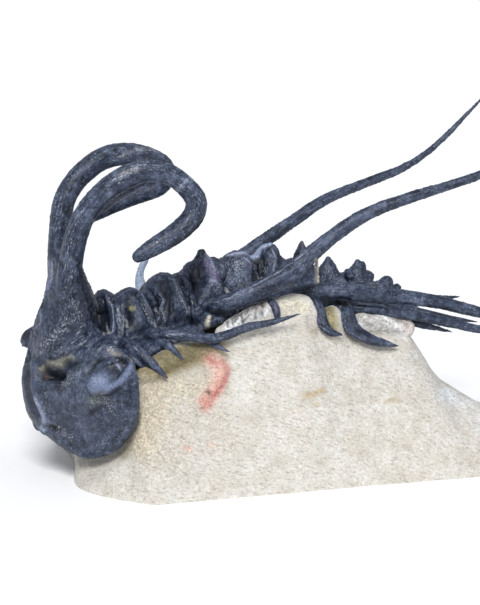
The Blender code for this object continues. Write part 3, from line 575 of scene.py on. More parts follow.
HEAD_FROST = (
    (0.5, 9.0, (68, 258), (69, 290), (66, 318)),
    (0.7, 7.0, (74, 300), (78, 318), (80, 336)),
    (0.9, 8.0, (40, 350), (54, 336), (66, 322)),
    (0.7, 6.0, (56, 352), (70, 346), (84, 344)),
    (0.9, 7.0, (62, 384), (72, 376), (82, 370)),
    (0.6, 6.0, (44, 394), (48, 410)),
    (0.8, 6.0, (92, 402), (102, 398), (112, 408)),
    (0.7, 5.0, (46, 424), (58, 432), (72, 438)),
    (0.6, 5.0, (104, 366), (116, 362)),
    (0.5, 7.0, (96, 446), (116, 440), (128, 420)),
    (0.8, 5.0, (92, 352), (106, 346), (122, 352)),
)
# Painted light on the horns: pale painted highlights along their middles and tops, a painted glint and near
# black painted shade along their darker sides, with one warm grey patch
HORN_STAINS_AND_PAINTED_LIGHT = (
    (HIGHLIGHT_AND_SCRATCH_BLUE, 0.45, 0.9, (92, 222), (110, 207), (130, 194), (152, 181)),
    (SHADE_BLACK, 0.5, 3.0, (96, 214), (114, 200), (134, 188)),
    (WARM_GREY, 0.35, 4.5, (121, 175), (129, 171), (136, 169)),
    (WARM_HIGHLIGHT_AND_SCRATCH, 0.3, 4.0, (122, 156), (136, 150), (152, 149)),
    (HIGHLIGHT_BLUE, 0.45, 1.4, (180, 187), (186, 181), (192, 175)),
    (GLINT_BLUE, 0.5, 0.9, (156.5, 242), (157.5, 242)),
    (SHADE_BLACK, 0.45, 4.0, (166, 252), (190, 236), (204, 218)),
)
# Where pale scratches lie thick on the horns: along their tops and middles, where they stand for painted
# highlights as well as scratches
HORN_SCRATCHES_AND_HIGHLIGHTS = (
    (0.8, 5.0, (116, 158), (136, 150), (156, 150)),
    (0.8, 6.0, (118, 180), (130, 170), (146, 164)),
    (0.9, 6.0, (176, 190), (186, 180), (196, 178)),
    (0.6, 6.0, (68, 250), (70, 230), (80, 205)),
    (0.45, 8.0, (56, 225), (62, 190), (84, 158), (118, 144), (160, 150)),
    (0.45, 9.0, (74, 222), (92, 188), (124, 166), (168, 166), (196, 190), (196, 220), (150, 250)),
)

# Lines along the rings that are both raised or hollowed and stained
RIDGE_2 = ((109, 298), (113, 309), (114, 322), (113, 332))
RIDGE_BEHIND_2 = ((122, 305), (123, 320), (122, 335))
RIDGE_3 = ((141, 293), (147, 304), (153, 316))
RIDGE_BEHIND_3 = ((159, 294), (164, 300), (160, 309), (158, 319))
RIDGE_4 = ((173, 280), (179, 294), (184, 305), (188, 314))
NODE_5_RIM = ((228, 256), (234, 254.5), (241.5, 254), (247, 255), (251, 257.5), (254, 262))
NODE_6_RIM = ((253, 257), (260.5, 249), (266.6, 246), (271, 245))
NODE_6_REAR = ((271.7, 249), (276, 259.5), (273.4, 270))
HOOK_GAP = ((337, 302), (348, 302))
BODY_RELIEF = (
    (0.18, 1.0, *REAR_MARGIN),
    (-0.36, 2.0, (112, 300), (116, 310), (118, 322), (119, 335)),
    (0.14, 1.0, *RIDGE_2),
    (0.14, 1.0, *RIDGE_BEHIND_2),
    (-0.2, 3.0, (103, 300), (105, 316), (106, 328)),
    (-0.36, 2.0, (137, 294), (142, 304), (148, 314), (152, 323)),
    (0.12, 1.0, *RIDGE_3),
    (-0.3, 2.0, (149, 291), (155, 302), (158, 314), (160, 326)),
    (0.14, 1.0, *RIDGE_BEHIND_3),
    (-0.34, 2.0, (169, 279), (171, 296), (172, 314)),
    (0.12, 1.0, *RIDGE_4),
    (-0.2, 1.8, (178, 277), (184, 290), (189, 304)),
    (-0.34, 2.2, (186, 271), (191, 288), (196, 306)),
    (0.25, 3.6, (208, 262), (211, 273), (214, 282)),
    (-0.36, 2.6, (201, 264), (203, 284)),
    (0.24, 1.2, *NODE_5_RIM),
    (0.25, 5.0, (246, 263), (247, 269)),
    (-0.34, 2.4, (254, 262), (255, 272), (254, 280)),
    (-0.5, 5.0, (260, 257), (262, 266)),
    (0.22, 1.2, *NODE_6_RIM),
    (0.16, 1.3, *NODE_6_REAR),
    (-0.4, 3.0, *HOOK_GAP),
)
# Among the rings' and tail's stains is painted light: near black painted shade in the furrows, beside the
# nodes and in the gap under the hook, and pale and lilac painted highlights along ridges, node rims and the
# edges of spines and hooks; the pale lines along the rear spines are scratches
BODY_STAINS_AND_PAINTED_LIGHT = (
    (WARM_HIGHLIGHT_AND_SCRATCH, 0.75, 1.0, *REAR_MARGIN),
    (SHADE_BLACK, 0.7, 4.0, (103, 298), (105, 314), (106, 328)),
    (HIGHLIGHT_AND_SCRATCH_BLUE, 0.5, 0.8, *RIDGE_2),
    (WARM_HIGHLIGHT_AND_SCRATCH, 0.5, 0.8, *RIDGE_BEHIND_2),
    (SHADE_BLACK, 0.7, 4.4, (128, 300), (130, 313), (132, 326)),
    (OLIVE, 0.8, 1.8, (132, 308.5), (134, 308.5)),
    (HIGHLIGHT_AND_SCRATCH_BLUE, 0.35, 0.9, (117, 298), (124, 292), (130, 289.5)),
    (SHADE_BLACK, 0.6, 2.2, (137, 295), (143, 306), (149, 318)),
    (HIGHLIGHT_AND_SCRATCH_BLUE, 0.45, 0.7, *RIDGE_3),
    (SHADE_BLACK, 0.6, 4.6, (162, 284), (167, 298), (166, 314)),
    (HIGHLIGHT_AND_SCRATCH_BLUE, 0.45, 0.8, *RIDGE_BEHIND_3),
    (HIGHLIGHT_AND_SCRATCH_BLUE, 0.5, 0.8, *RIDGE_4),
    (SHADE_BLACK, 0.6, 5.5, (196, 266), (196, 280), (199, 298)),
    (LILAC_HIGHLIGHT, 0.55, 5.5, (208, 262), (212, 272), (216, 281)),
    (HIGHLIGHT_AND_SCRATCH_BLUE, 0.5, 1.0, (205, 254), (211, 260), (215, 270)),
    (HIGHLIGHT_AND_SCRATCH_BLUE, 0.45, 1.0, (210.5, 281), (216, 283), (220, 284.5)),
    (HIGHLIGHT_AND_SCRATCH_BLUE, 0.9, 1.2, *NODE_5_RIM),
    # Painted highlight: a smooth slate patch over the fifth node's raised bump
    (SLATE, 0.6, 5.5, (246, 263), (248, 270)),
    (HIGHLIGHT_AND_SCRATCH_BLUE, 0.4, 0.9, (243, 258), (250, 264), (252, 272)),
    (SHADE_BLACK, 0.8, 2.4, (254.5, 264), (255, 282)),
    (SHADE_BLACK, 0.8, 5.0, (259, 256), (262, 266), (262, 276)),
    (HIGHLIGHT_BLUE, 0.8, 1.2, *NODE_6_RIM),
    (HIGHLIGHT_AND_SCRATCH_BLUE, 0.5, 1.2, *NODE_6_REAR),
    (SHADE_BLACK, 0.6, 2.6, (279, 252), (280, 262), (277, 272)),
    (BROWN, 0.4, 2.4, (302.5, 241), (303, 246)),
    (SHADE_BLACK, 0.6, 4.0, (294, 252), (300, 258)),
    (FLAKE_GREY, 0.8, 1.8, (316, 259), (316.5, 283)),
    (CREAM, 0.45, 0.7, (318.4, 260), (318.4, 282)),
    (HIGHLIGHT_AND_SCRATCH_BLUE, 0.4, 0.8, (222, 301), (240, 292), (262, 281), (280, 271), (300, 256), (322, 237)),
    (SLATE, 0.5, 2.6, (236, 298), (258, 288)),
    (SLATE, 0.5, 3.0, (318, 245), (345, 225), (372, 213)),
    (LILAC_HIGHLIGHT, 0.5, 1.8, (317, 317), (319, 322)),
    (HIGHLIGHT_AND_SCRATCH_BLUE, 0.5, 1.0, (319.5, 326), (324, 329), (329, 332)),
    (LILAC_HIGHLIGHT, 0.4, 1.8, (276, 305), (277, 312)),
    (SHADE_BLACK, 1.0, 3.2, *HOOK_GAP),
    (HIGHLIGHT_AND_SCRATCH_BLUE, 0.4, 0.9, (339, 304), (340, 316), (347, 331), (362, 339)),
    (SHADE_BLACK, 0.5, 4.0, (350, 318), (356, 329), (368, 336)),
    (HIGHLIGHT_AND_SCRATCH_BLUE, 0.25, 0.8, (312, 289), (335, 284), (358, 286), (390, 290), (420, 296)),
    (HIGHLIGHT_AND_SCRATCH_BLUE, 0.25, 0.8, (380, 302), (410, 308), (446, 316)),
    (BROWN, 0.6, 2.6, (462, 294), (472, 292)),
    (BROWN, 0.5, 2.0, (460, 301), (469, 300)),
    (CREAM, 0.6, 2.6, (209, 317), (207, 324), (211, 331)),
    (LILAC_GREY, 0.35, 3.0, (128, 346), (140, 364)),
    (LILAC_GREY, 0.3, 2.5, (150, 356), (160, 372)),
    (WARM_HIGHLIGHT_AND_SCRATCH, 0.5, 3.0, (113, 354), (120, 356)),
    (HIGHLIGHT_AND_SCRATCH_BLUE, 0.35, 0.8, (232, 333), (255, 329), (281, 324)),
)
BODY_FROST = (
    (0.9, 3.0, (118, 306), (120, 320), (120, 335)),
    (0.8, 3.0, (141, 300), (148, 312), (153, 323)),
    (0.7, 3.0, (160, 296), (163, 310), (164, 324)),
    (0.9, 4.0, (175, 280), (182, 298), (188, 312)),
    (0.8, 6.0, (208, 260), (212, 274), (218, 288)),
    (1.0, 8.0, (226, 266), (230, 280), (238, 272), (236, 264)),
    (0.4, 5.0, (246, 262), (248, 278)),
    (0.7, 4.0, (266, 262), (266, 272)),
    (0.6, 5.0, (204, 302), (226, 300), (250, 288)),
    (0.6, 6.0, (170, 335), (205, 330), (226, 322)),
    (0.8, 5.0, (324, 272), (334, 278), (342, 284)),
    (0.7, 5.0, (352, 278), (366, 282), (380, 286)),
    (0.5, 5.0, (286, 256), (296, 262), (304, 262)),
    (0.5, 4.0, (118, 350), (132, 348), (146, 354)),
)

ROCK_RELIEF = (
    (0.15, 8.0, (360, 326), (378, 322), (396, 326)),
    (-0.4, 9.0, (141, 391), (149, 410), (156, 434)),
    (-0.2, 6.0, (300, 350), (330, 352), (352, 356)),
    (0.25, 5.0, (404, 322), (411, 331)),
)
ROCK_STAINS = (
    (SHADE, 0.6, 34.0, (150, 396), (160, 425), (165, 455)),
    (SHADE, 0.45, 24.0, (205, 405), (230, 440)),
    (SAND, 0.3, 14.0, (128, 376), (150, 386), (172, 388), (196, 384), (214, 376)),
    (TAN, 0.75, 10.0, (131, 362), (150, 368), (166, 365), (182, 360), (200, 355), (218, 346)),
    (OLIVE_BROWN, 0.7, 7.0, (138, 350), (150, 357), (168, 355), (186, 350), (206, 346)),
    (BROWN, 0.3, 3.0, (134, 352), (142, 358), (150, 360)),
    (OLIVE_BROWN, 0.4, 5.0, (138, 384), (144, 398), (145, 416), (141, 434), (124, 456)),
    (SAND, 0.45, 12.0, (146, 392), (152, 415), (142, 448)),
    (ROSE, 0.42, 7.0, (213, 361), (220, 370), (218, 386), (207, 401)),
    (RUST, 0.3, 2.6, (209, 359), (216, 363)),
    (RUST, 0.45, 3.4, (223, 361), (229, 369), (225, 381)),
    (RUST, 0.35, 3.2, (222, 386), (214, 396)),
    (RUST, 0.22, 3.4, (203, 400), (210, 405), (203, 409)),
    (BROWN, 0.35, 1.8, (207, 391), (209, 393)),
    (ORANGE, 0.6, 3.6, (309, 396), (317, 393), (323, 390)),
    (ORANGE, 0.5, 3.2, (315, 404), (317, 405)),
    (ORANGE, 0.5, 3.4, (386, 402), (393, 399), (398, 401)),
    (ORANGE, 0.35, 4.0, (300, 396), (305, 394)),
    (ROSE, 0.25, 3.0, (186, 448), (190, 449)),
    (ROSE, 0.2, 2.6, (210, 445), (213, 444)),
    (YELLOW, 0.3, 5.0, (398, 448), (408, 447)),
    (YELLOW, 0.5, 2.6, (312, 332), (315, 331)),
    (SAND, 0.3, 8.0, (268, 346), (300, 336), (330, 338)),
    (SAND, 0.25, 8.0, (226, 352), (250, 350)),
    (WARM_GREY, 0.75, 6.5, (226, 321), (240, 312), (256, 303), (272, 296)),
    (CHALK, 0.55, 5.0, (228, 330), (241, 324), (256, 318), (270, 312)),
    (CREAM, 0.55, 8.5, (284, 308), (294, 303), (304, 308)),
    (YELLOW, 0.85, 7.0, (329, 303), (330, 316), (332, 326)),
    (OLIVE_BROWN, 0.55, 4.0, (326, 303), (327, 310)),
    (CHALK, 0.55, 10.0, (358, 324), (375, 320), (392, 322), (402, 330)),
    (ROSE, 0.15, 5.0, (405, 324), (411, 331), (416, 350)),
    (COOL_WHITE, 0.35, 12.0, (446, 396), (462, 402), (482, 405), (482, 430)),
    (COOL_WHITE, 0.25, 12.0, (415, 356), (430, 372), (446, 392)),
)
ROCK_FANS = (
    Fan(WARM_GREY, 0.4, -0.08, 0.8, 10,
        ((352, 312), (362, 324), (392, 334)), ((372, 304), (390, 316), (408, 326))),
    Fan(DEEP_GREY, 0.4, -0.07, 0.6, 34, ((224, 312), (227, 327)), ((278, 292), (279, 312))),
)


def place_matrix():
    """The lean of the animal, the metres of the world, and the rock's base at z = 0."""
    lean = Matrix.Rotation(math.radians(ROLL), 4, "X") @ Matrix.Rotation(math.radians(-PITCH), 4, "Y")
    return Matrix.Scale(MM, 4) @ Matrix.Translation((*CENTRE_SHIFT, BASE_DROP)) @ lean


def view_axes():
    """The photograph's right, up and backward directions in the animal's frame."""
    azimuth, elevation = math.radians(VIEW_AZIMUTH), math.radians(VIEW_ELEVATION)
    back = np.array((
        math.sin(azimuth) * math.cos(elevation),
        -math.cos(azimuth) * math.cos(elevation),
        math.sin(elevation),
    ))
    right = np.array((math.cos(azimuth), math.sin(azimuth), 0.0))
    return right, np.cross(back, right), back


PLACE = np.array(place_matrix())
RIGHT, UP, BACK = view_axes()
# A fixed turn that keeps the noise lattice off the model's own axes
TWIST = np.array(Matrix.Rotation(0.7, 3, Vector((0.4, 0.7, 0.6)).normalized()))


def to_world(points):
    return points @ PLACE[:3, :3].T + PLACE[:3, 3]


def slanted_axes(slope):
    """Directions along and across a slope in the photograph's view, in degrees up to the right."""
    slant = math.radians(slope)
    along = RIGHT * math.cos(slant) + UP * math.sin(slant)
    return along, UP * math.cos(slant) - RIGHT * math.sin(slant)


def in_picture(points):
    """Where points of the animal's frame show in the photograph, in pixels, and how near they are."""
    offset = points - VIEW_AIM
    near = offset @ BACK
    scale = PIXELS_PER_MM * VIEW_DISTANCE / (VIEW_DISTANCE - near)
    across = PICTURE_WIDTH / 2 + offset @ RIGHT * scale
    down = PICTURE_HEIGHT / 2 - offset @ UP * scale
    return np.column_stack([across, down]), near


def hashed(cells, seed):
    """A fixed number from 0 to 1 for each whole-numbered cell."""
    mixed = (cells[:, 0] * 73856093) ^ (cells[:, 1] * 19349663) ^ (cells[:, 2] * 83492791)
    mixed = mixed ^ (seed * 40503)
    mixed = ((mixed ^ (mixed >> 13)) & 0x7FFFFFFF) * 1274126177
    return ((mixed >> 15) & 0xFFFF) / 0xFFFF


def soft_noise(points, size, seed):
    """Smooth noise from -1 to 1 whose lumps are about that many millimetres across."""
    place = (points / size) @ TWIST
    base = np.floor(place).astype(np.int64)
    share = place - base
    share = share * share * (3.0 - 2.0 * share)
    total = np.zeros(len(points))
    for corner in product((0, 1), repeat=3):
        weight = np.where(corner, share, 1.0 - share).prod(axis=1)
        total += weight * hashed(base + corner, seed)
    return total * 2.0 - 1.0


def granules(points, size, seed):
    """Rounded bumps from 0 to 1, about that many millimetres apart, at scattered places."""
    place = (points / size) @ TWIST
    base = np.floor(place).astype(np.int64)
    height = np.zeros(len(points))
    for step in product((-1, 0, 1), repeat=3):
        cells = base + step
        centres = cells + np.stack([hashed(cells, seed + axis) for axis in range(3)], axis=1)
        reach = 0.34 + 0.22 * hashed(cells, seed + 3)
        height = np.maximum(height, 1.0 - ((place - centres) ** 2).sum(axis=1) / reach ** 2)
    return height.clip(0.0, 1.0)


def smooth_step(values, low, high):
    """From 0 at the low mark to 1 at the high one, with soft ends."""
    share = ((values - low) / (high - low)).clip(0.0, 1.0)
    return share * share * (3.0 - 2.0 * share)


def distance_to(points, line):
    """Distance of each point from a line of points joined by straight stretches."""
    line = np.asarray(line, float)
    nearest = np.full(len(points), np.inf)
    for start, end in zip(line, line[1:]):
        along = end - start
        share = ((points - start) @ along / (along @ along)).clip(0.0, 1.0)
        nearest = np.minimum(nearest, np.linalg.norm(points - start - share[:, None] * along, axis=1))
    return nearest


def smooth_run(points, per_span):
    """A Catmull-Rom run through points of any number of coordinates."""
    padded = np.array([points[0], *points, points[-1]], float)
    run = []
    for a, b, c, d in zip(padded, padded[1:], padded[2:], padded[3:]):
        for t in np.arange(per_span) / per_span:
            run.append(0.5 * (2 * b + (c - a) * t + (2 * a - 5 * b + 4 * c - d) * t ** 2
                              + (3 * b - a - 3 * c + d) * t ** 3))
    return np.array(run + [padded[-1]])


def loft(rings, start_tip, end_tip):
    """One closed surface through rings of as many points each, as (points, faces)."""
    count = len(rings[0])
    points = np.vstack([np.asarray(rings, float).reshape(-1, 3), start_tip, end_tip])
    faces = []
    for row in range(len(rings) - 1):
        for k in range(count):
            here, beside = row * count + k, row * count + (k + 1) % count
            faces.append((here, beside, beside + count, here + count))
    last = (len(rings) - 1) * count
    for first, tip in ((0, len(points) - 2), (last, len(points) - 1)):
        faces += [(first + k, first + (k + 1) % count, tip) for k in range(count)]
    return points, faces


def frames_along(run):
    """Direction, side and other side at each point of a run, turned as little as possible."""
    centres = run[:, :3]
    ahead = np.gradient(centres, axis=0)
    ahead /= np.linalg.norm(ahead, axis=1)[:, None]
    side = np.array((0.31, 0.77, 0.55))
    sides = []
    for along in ahead:
        side = side - along * (side @ along)
        side = side / np.linalg.norm(side)
        sides.append(side)
    sides = np.array(sides)
    return ahead, sides, np.cross(ahead, sides)


def circle(sides):
    """Angles of so many corners round a full turn."""
    return 2 * math.pi * np.arange(sides) / sides


def tube(points, sides=20, per_span=8, blunt=False):
    """A tapered tube along (x, y, z, radius) points, with a pointed or a rounded tip."""
    run = smooth_run(points, per_span)
    ahead, side, other = frames_along(run)
    turns = circle(sides)[None, :, None]
    around = np.cos(turns) * side[:, None] + np.sin(turns) * other[:, None]
    rings = list(run[:, None, :3] + around * run[:, 3][:, None, None])
    tip, tip_radius = run[-1, :3], run[-1, 3]
    reach = ahead[-1] * tip_radius * (BLUNT_TIP if blunt else SHARP_TIP)
    if blunt:
        for share in (0.35, 0.6, 0.8):
            rings.append(tip + reach * share + around[-1] * tip_radius * math.sqrt(1 - share ** 2))
    return loft(rings, run[0, :3] - ahead[0] * run[0, 3] * ROOT_END, tip + reach)


def blob(centre, radii, lean=0.0, sides=24, rows=12):
    """A closed ellipsoid whose top leans towards the tail."""
    (x, y, z), (wide, deep, high) = centre, radii
    turns = circle(sides)
    rings = []
    for tilt in math.pi * np.arange(1, rows) / rows:
        up, out = -high * math.cos(tilt), math.sin(tilt)
        across = x + lean * up + wide * out * np.cos(turns)
        rings.append(np.column_stack([across, y + deep * out * np.sin(turns), np.full(sides, z + up)]))
    return loft(rings, (x - lean * high, y, z - high), (x + lean * high, y, z + high))


def cone(x, base, height, radius_x, radius_y, lean, sides=42):
    """A ribbed node with a narrow rounded tip, standing on the midline."""
    turns = circle(sides)
    rings = []
    for up, width in CONE_PROFILE:
        ribbed = width * (1.0 + RIB_DEPTH * np.cos(CONE_RIBS * turns) * (1.0 - up))
        across = x + lean * height * up + radius_x * ribbed * np.cos(turns)
        deep = radius_y * ribbed * np.sin(turns)
        rings.append(np.column_stack([across, deep, np.full(sides, base + height * up)]))
    return loft(rings, (x, 0.0, base - CONE_ROOT), (x + lean * height, 0.0, base + height))


def joined(pieces):
    """Several (points, faces) as one."""
    points, faces = [], []
    for piece_points, piece_faces in pieces:
        start = sum(len(block) for block in points)
        points.append(piece_points)
        faces += [tuple(start + k for k in face) for face in piece_faces]
    return np.vstack(points), faces


def fan_lines(fan, number):
    """The lines of a fan, each a little out of step and broken at its own places."""
    first, last = smooth_run(fan.first, 4), smooth_run(fan.last, 4)
    first = first[np.linspace(0, len(first) - 1, FAN_STEPS).round().astype(int)]
    last = last[np.linspace(0, len(last) - 1, FAN_STEPS).round().astype(int)]
    draw = np.random.default_rng(FAN_SEED + number)
    for k in range(fan.count):
        share = (k + draw.uniform(0.15, 0.85)) / fan.count
        line = first + (last - first) * share
        line = line + draw.normal(0.0, FAN_WANDER, line.shape) + draw.normal(0.0, FAN_WANDER * 2, 2)
        begin, end = sorted(draw.choice(FAN_STEPS, 2, replace=False))
        if end - begin < FAN_STEPS // 2:
            begin, end = 0, FAN_STEPS - 1
        yield line[begin:end + 1], draw.uniform(0.55, 1.0)


class Skin:
    """A fused surface that relief and colour fields are worked into, in millimetres."""

    def __init__(self, name, pieces, voxel, rounds):
        points, faces = joined(pieces)
        rough = bpy.data.meshes.new(name + "_rough")
        rough.from_pydata(points.tolist(), [], faces)
        holder = bpy.data.objects.new(name + "_rough", rough)
        bpy.context.scene.collection.objects.link(holder)
        remesh = holder.modifiers.new("Fuse", "REMESH")
        remesh.mode = "VOXEL"
        remesh.voxel_size = voxel
        graph = bpy.context.evaluated_depsgraph_get()
        self.mesh = bpy.data.meshes.new_from_object(holder.evaluated_get(graph))
        self.mesh.name = name
        bpy.data.objects.remove(holder, do_unlink=True)
        bpy.data.meshes.remove(rough)
        self.name = name
        self.points = self.read_points()
        edges = np.empty(len(self.mesh.edges) * 2, np.int32)
        self.mesh.edges.foreach_get("vertices", edges)
        self.edges = edges.reshape(-1, 2)
        self.degree = np.bincount(self.edges.ravel(), minlength=len(self.points))[:, None]
        self.points = self.blur(self.points, rounds)
        self.write_points()
        self.colour = np.full((len(self.points), 3), UNSTAINED)
        self.cover = np.zeros(len(self.points))
        self.frost = np.zeros(len(self.points))
        self.look()

    def read_points(self):
        flat = np.empty(len(self.mesh.vertices) * 3)
        self.mesh.vertices.foreach_get("co", flat)
        return flat.reshape(-1, 3)

    def write_points(self):
        self.mesh.vertices.foreach_set("co", self.points.ravel())
        self.mesh.update()

    def normals(self):
        flat = np.empty(len(self.mesh.vertices) * 3, np.float32)
        self.mesh.vertex_normals.foreach_get("vector", flat)
        return flat.reshape(-1, 3).astype(float)

    def blur(self, values, rounds):
        """Each value drawn half way to its neighbours' mean, so many times."""
        values = np.array(values, float).reshape(len(self.points), -1)
        start, end = self.edges.T
        for _ in range(rounds):
            total = np.zeros_like(values)
            for column in range(values.shape[1]):
                total[:, column] += np.bincount(start, values[end, column], len(values))
                total[:, column] += np.bincount(end, values[start, column], len(values))
            values = 0.5 * values + 0.5 * total / self.degree
        return values

    def raise_by(self, height):
        self.points = self.points + self.normals() * height[:, None]
        self.write_points()

    def cavity(self, deep):
        """From 0 on the open surface to 1 in hollows of that depth, in millimetres."""
        below = (self.blur(self.points, CAVITY_ROUNDS) - self.points) * self.normals()
        return smooth_step(below.sum(axis=1), CAVITY_SHALLOW, deep)

    def look(self):
        """Note where each point shows in the photograph's view, and how plainly it is in sight."""
        self.shown, near = in_picture(self.points)
        cells = (self.shown // SIGHT_CELL).clip(0, PICTURE_HEIGHT).astype(int)
        cell = cells[:, 1] * PICTURE_HEIGHT + cells[:, 0]
        nearest = np.full(cell.max() + 1, -np.inf)
        np.maximum.at(nearest, cell, near)
        self.sight = smooth_step(self.normals() @ BACK, 0.0, 0.3) * (near > nearest[cell] - SIGHT_DEPTH)

    def falloff(self, line, reach):
        """From 1 on a line of the photograph's view to 0 beyond its half width."""
        line = np.asarray(line, float)
        low, high = line.min(axis=0) - 2 * reach, line.max(axis=0) + 2 * reach
        near = ((self.shown > low) & (self.shown < high)).all(axis=1) & (self.sight > 0)
        share = np.zeros(len(self.points))
        if near.any():
            share[near] = np.exp(-(distance_to(self.shown[near], line) / reach) ** 2) * self.sight[near]
        return share

    def carve(self, reliefs, fans=()):
        """Raise and hollow the surface along the marks that are in plain sight."""
        raised = np.zeros(len(self.points))
        for height, reach, *line in reliefs:
            raised += height * self.falloff(line, reach)
        for number, fan in enumerate(fans):
            lines = np.zeros(len(self.points))
            for line, strength in fan_lines(fan, number):
                lines = np.maximum(lines, self.falloff(line, fan.reach) * strength)
            raised += fan.height * (lines - FAN_SHOULDER * (lines > 0))
        self.raise_by(raised)

    def stain(self, colour, share):
        """Lay a colour over the surface, as fully as each point's share says."""
        self.colour += (np.array(colour) - self.colour) * np.clip(share * MARK_BODY, 0.0, 1.0)[:, None]
        self.cover = 1.0 - (1.0 - self.cover) * (1.0 - share)

    def paint(self, stains, frosts=(), fans=()):
        """Note the frost, then lay the stains, painted highlights and painted shade, and the fans' lines,
        over one another.
        """
        for amount, reach, *line in frosts:
            self.frost = np.maximum(self.frost, self.falloff(line, reach) * amount)
        for colour, cover, reach, *line in stains:
            self.stain(colour, self.falloff(line, reach * MARK_SPREAD) * cover)
        for number, fan in enumerate(fans):
            for line, strength in fan_lines(fan, number):
                self.stain(fan.colour, self.falloff(line, fan.reach * MARK_SPREAD) * fan.cover * strength)

    def store(self, name, values):
        """Keep one or three numbers for each point, for the material to read."""
        values = np.asarray(values, np.float32)
        kind = "FLOAT" if values.ndim == 1 else "FLOAT_VECTOR"
        layer = self.mesh.attributes.new(name, kind, "POINT")
        layer.data.foreach_set("value" if kind == "FLOAT" else "vector", values.ravel())

    def finish(self, material, slot, node, **fields):
        """The surface as a smooth-shaded object in the world that stands for its node."""
        fields.update(stain=self.colour, cover=self.cover, frost=self.frost)
        for name, values in fields.items():
            self.store(name, values)
        self.points = to_world(self.points)
        self.write_points()
        self.mesh.materials.clear()
        self.mesh.materials.append(material)
        self.mesh.shade_smooth()
        piece = bpy.data.objects.new(self.name, self.mesh)
        bpy.context.scene.collection.objects.link(piece)
        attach(piece, "root")
        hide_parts(node)
        return piece


def spine_grain(points, body, spines, clear=0.14):
    """Where each point lies along and around its nearest spine or else on the body, and which it is.

    A spine's own grain reaches about so many millimetres clear of its surface.
    """
    grain = body.copy()
    nearest = np.full(len(points), np.inf)
    length_so_far = 0.0
    for spine in spines:
        run = smooth_run(spine, 10)
        ahead, side, other = frames_along(run)
        steps = np.linalg.norm(np.diff(run[:, :3], axis=0), axis=1)
        lengths = length_so_far + np.concatenate([[0.0], np.cumsum(steps)])
        length_so_far = lengths[-1] + SPINE_APART
        best = np.full(len(points), np.inf)
        index = np.zeros(len(points), int)
        for k, centre in enumerate(run[:, :3]):
            square = ((points - centre) ** 2).sum(axis=1)
            closer = square < best
            best[closer] = square[closer]
            index[closer] = k
        offset = points - run[index, :3]
        along = (offset * ahead[index]).sum(axis=1)
        past_end = ((index == len(run) - 1) & (along > 0)) | ((index == 0) & (along < 0))
        out = np.linalg.norm(offset - along[:, None] * ahead[index], axis=1) - run[index, 3]
        proud = np.where(past_end, np.maximum(out, np.abs(along) - 2 * run[index, 3]), out)
        closer = proud < nearest
        local = np.stack([
            lengths[index] + along,
            (offset * side[index]).sum(axis=1),
            (offset * other[index]).sum(axis=1),
        ], axis=1)
        grain[closer] = local[closer]
        nearest = np.minimum(nearest, proud)
    on_spine = 1.0 - smooth_step(nearest, clear * 0.5, clear * 2.0)
    return np.where(on_spine[:, None] > 0.5, grain, body), on_spine


def grooves(grain, size, seed):
    """Fine lines along the grain, from 0 in the lines to 1 on the ridges."""
    return np.abs(soft_noise(grain * (0.1, 1.0, 1.0), size, seed)) ** 0.7


def ring_outline(segment, roll):
    """The outline of one ring across the body at one place along it: top, then underside."""
    half = RING_HALF_WIDTH
    lift = RING_END_LIFT + (1.0 - RING_END_LIFT) * roll
    drop = RING_GROOVE * (1.0 - roll)
    rise = (segment.crown - segment.furrow) * lift
    near, far, low = segment.near_edge - drop, segment.far_edge - drop, segment.furrow - drop
    top = [(-near, low + segment.swell - 0.5), (-(half + near) / 2, low + segment.swell * lift)]
    top += [(-half * share, low + rise * height) for share, height in RING_ARCH]
    top += [((half + far) / 2, low - 0.3), (far, low - 1.2)]
    under = [(-near, low + segment.swell - 1.1), (-(half + near) / 2, low + segment.swell - 1.9)]
    under += [(-half * share, low - 1.5) for share, _ in RING_ARCH]
    under += [((half + far) / 2, low - 1.7), (far, low - 1.8)]
    return smooth_run(top, 4), smooth_run(under, 4)


def ring_sweep(across):
    """How far forward a ring lies at a distance from the midline."""
    return RING_SWEEP * np.minimum(np.abs(across) / RING_HALF_WIDTH, 1.0) ** 1.5


def ring_band(segment):
    """The rolled band of one thoracic ring, gently arched in front and steep behind."""
    length = segment.rear - segment.front + 2 * RING_OVERLAP
    rings = []
    for share in np.linspace(0.0, 1.0, RING_SECTIONS):
        roll = 1.0 - abs(2.0 * share ** RING_SKEW - 1.0) ** RING_ROUNDNESS
        top, under = ring_outline(segment, roll)
        outline = np.vstack([top, under[::-1]])
        x = segment.front - RING_OVERLAP + length * share - ring_sweep(outline[:, 0])
        rings.append(np.column_stack([x, outline]))
    return loft(rings, rings[0].mean(axis=0), rings[-1].mean(axis=0))


def joint_dust(points, segment, seed):
    """Streaky pale sediment in the joints before and behind one ring, from 0 to 1."""
    share = (points[:, 0] + ring_sweep(points[:, 1]) - segment.front) / (segment.rear - segment.front)
    edge = smooth_step(np.abs(share * 2.0 - 1.0), 0.7, 1.0) * (np.abs(share - 0.5) < 0.6)
    beside = smooth_step(np.abs(points[:, 1]), 1.0, 2.6)
    low = 1.0 - smooth_step(points[:, 2], segment.crown - 1.2, segment.crown - 0.2)
    streaks = smooth_step(soft_noise(points * (1.0, 0.25, 0.25), 0.22, seed), -0.2, 0.5)
    return edge * beside * low * streaks


def body_grain(points):
    """On the rings the streaks run down the flanks."""
    return points[:, [2, 0, 1]]


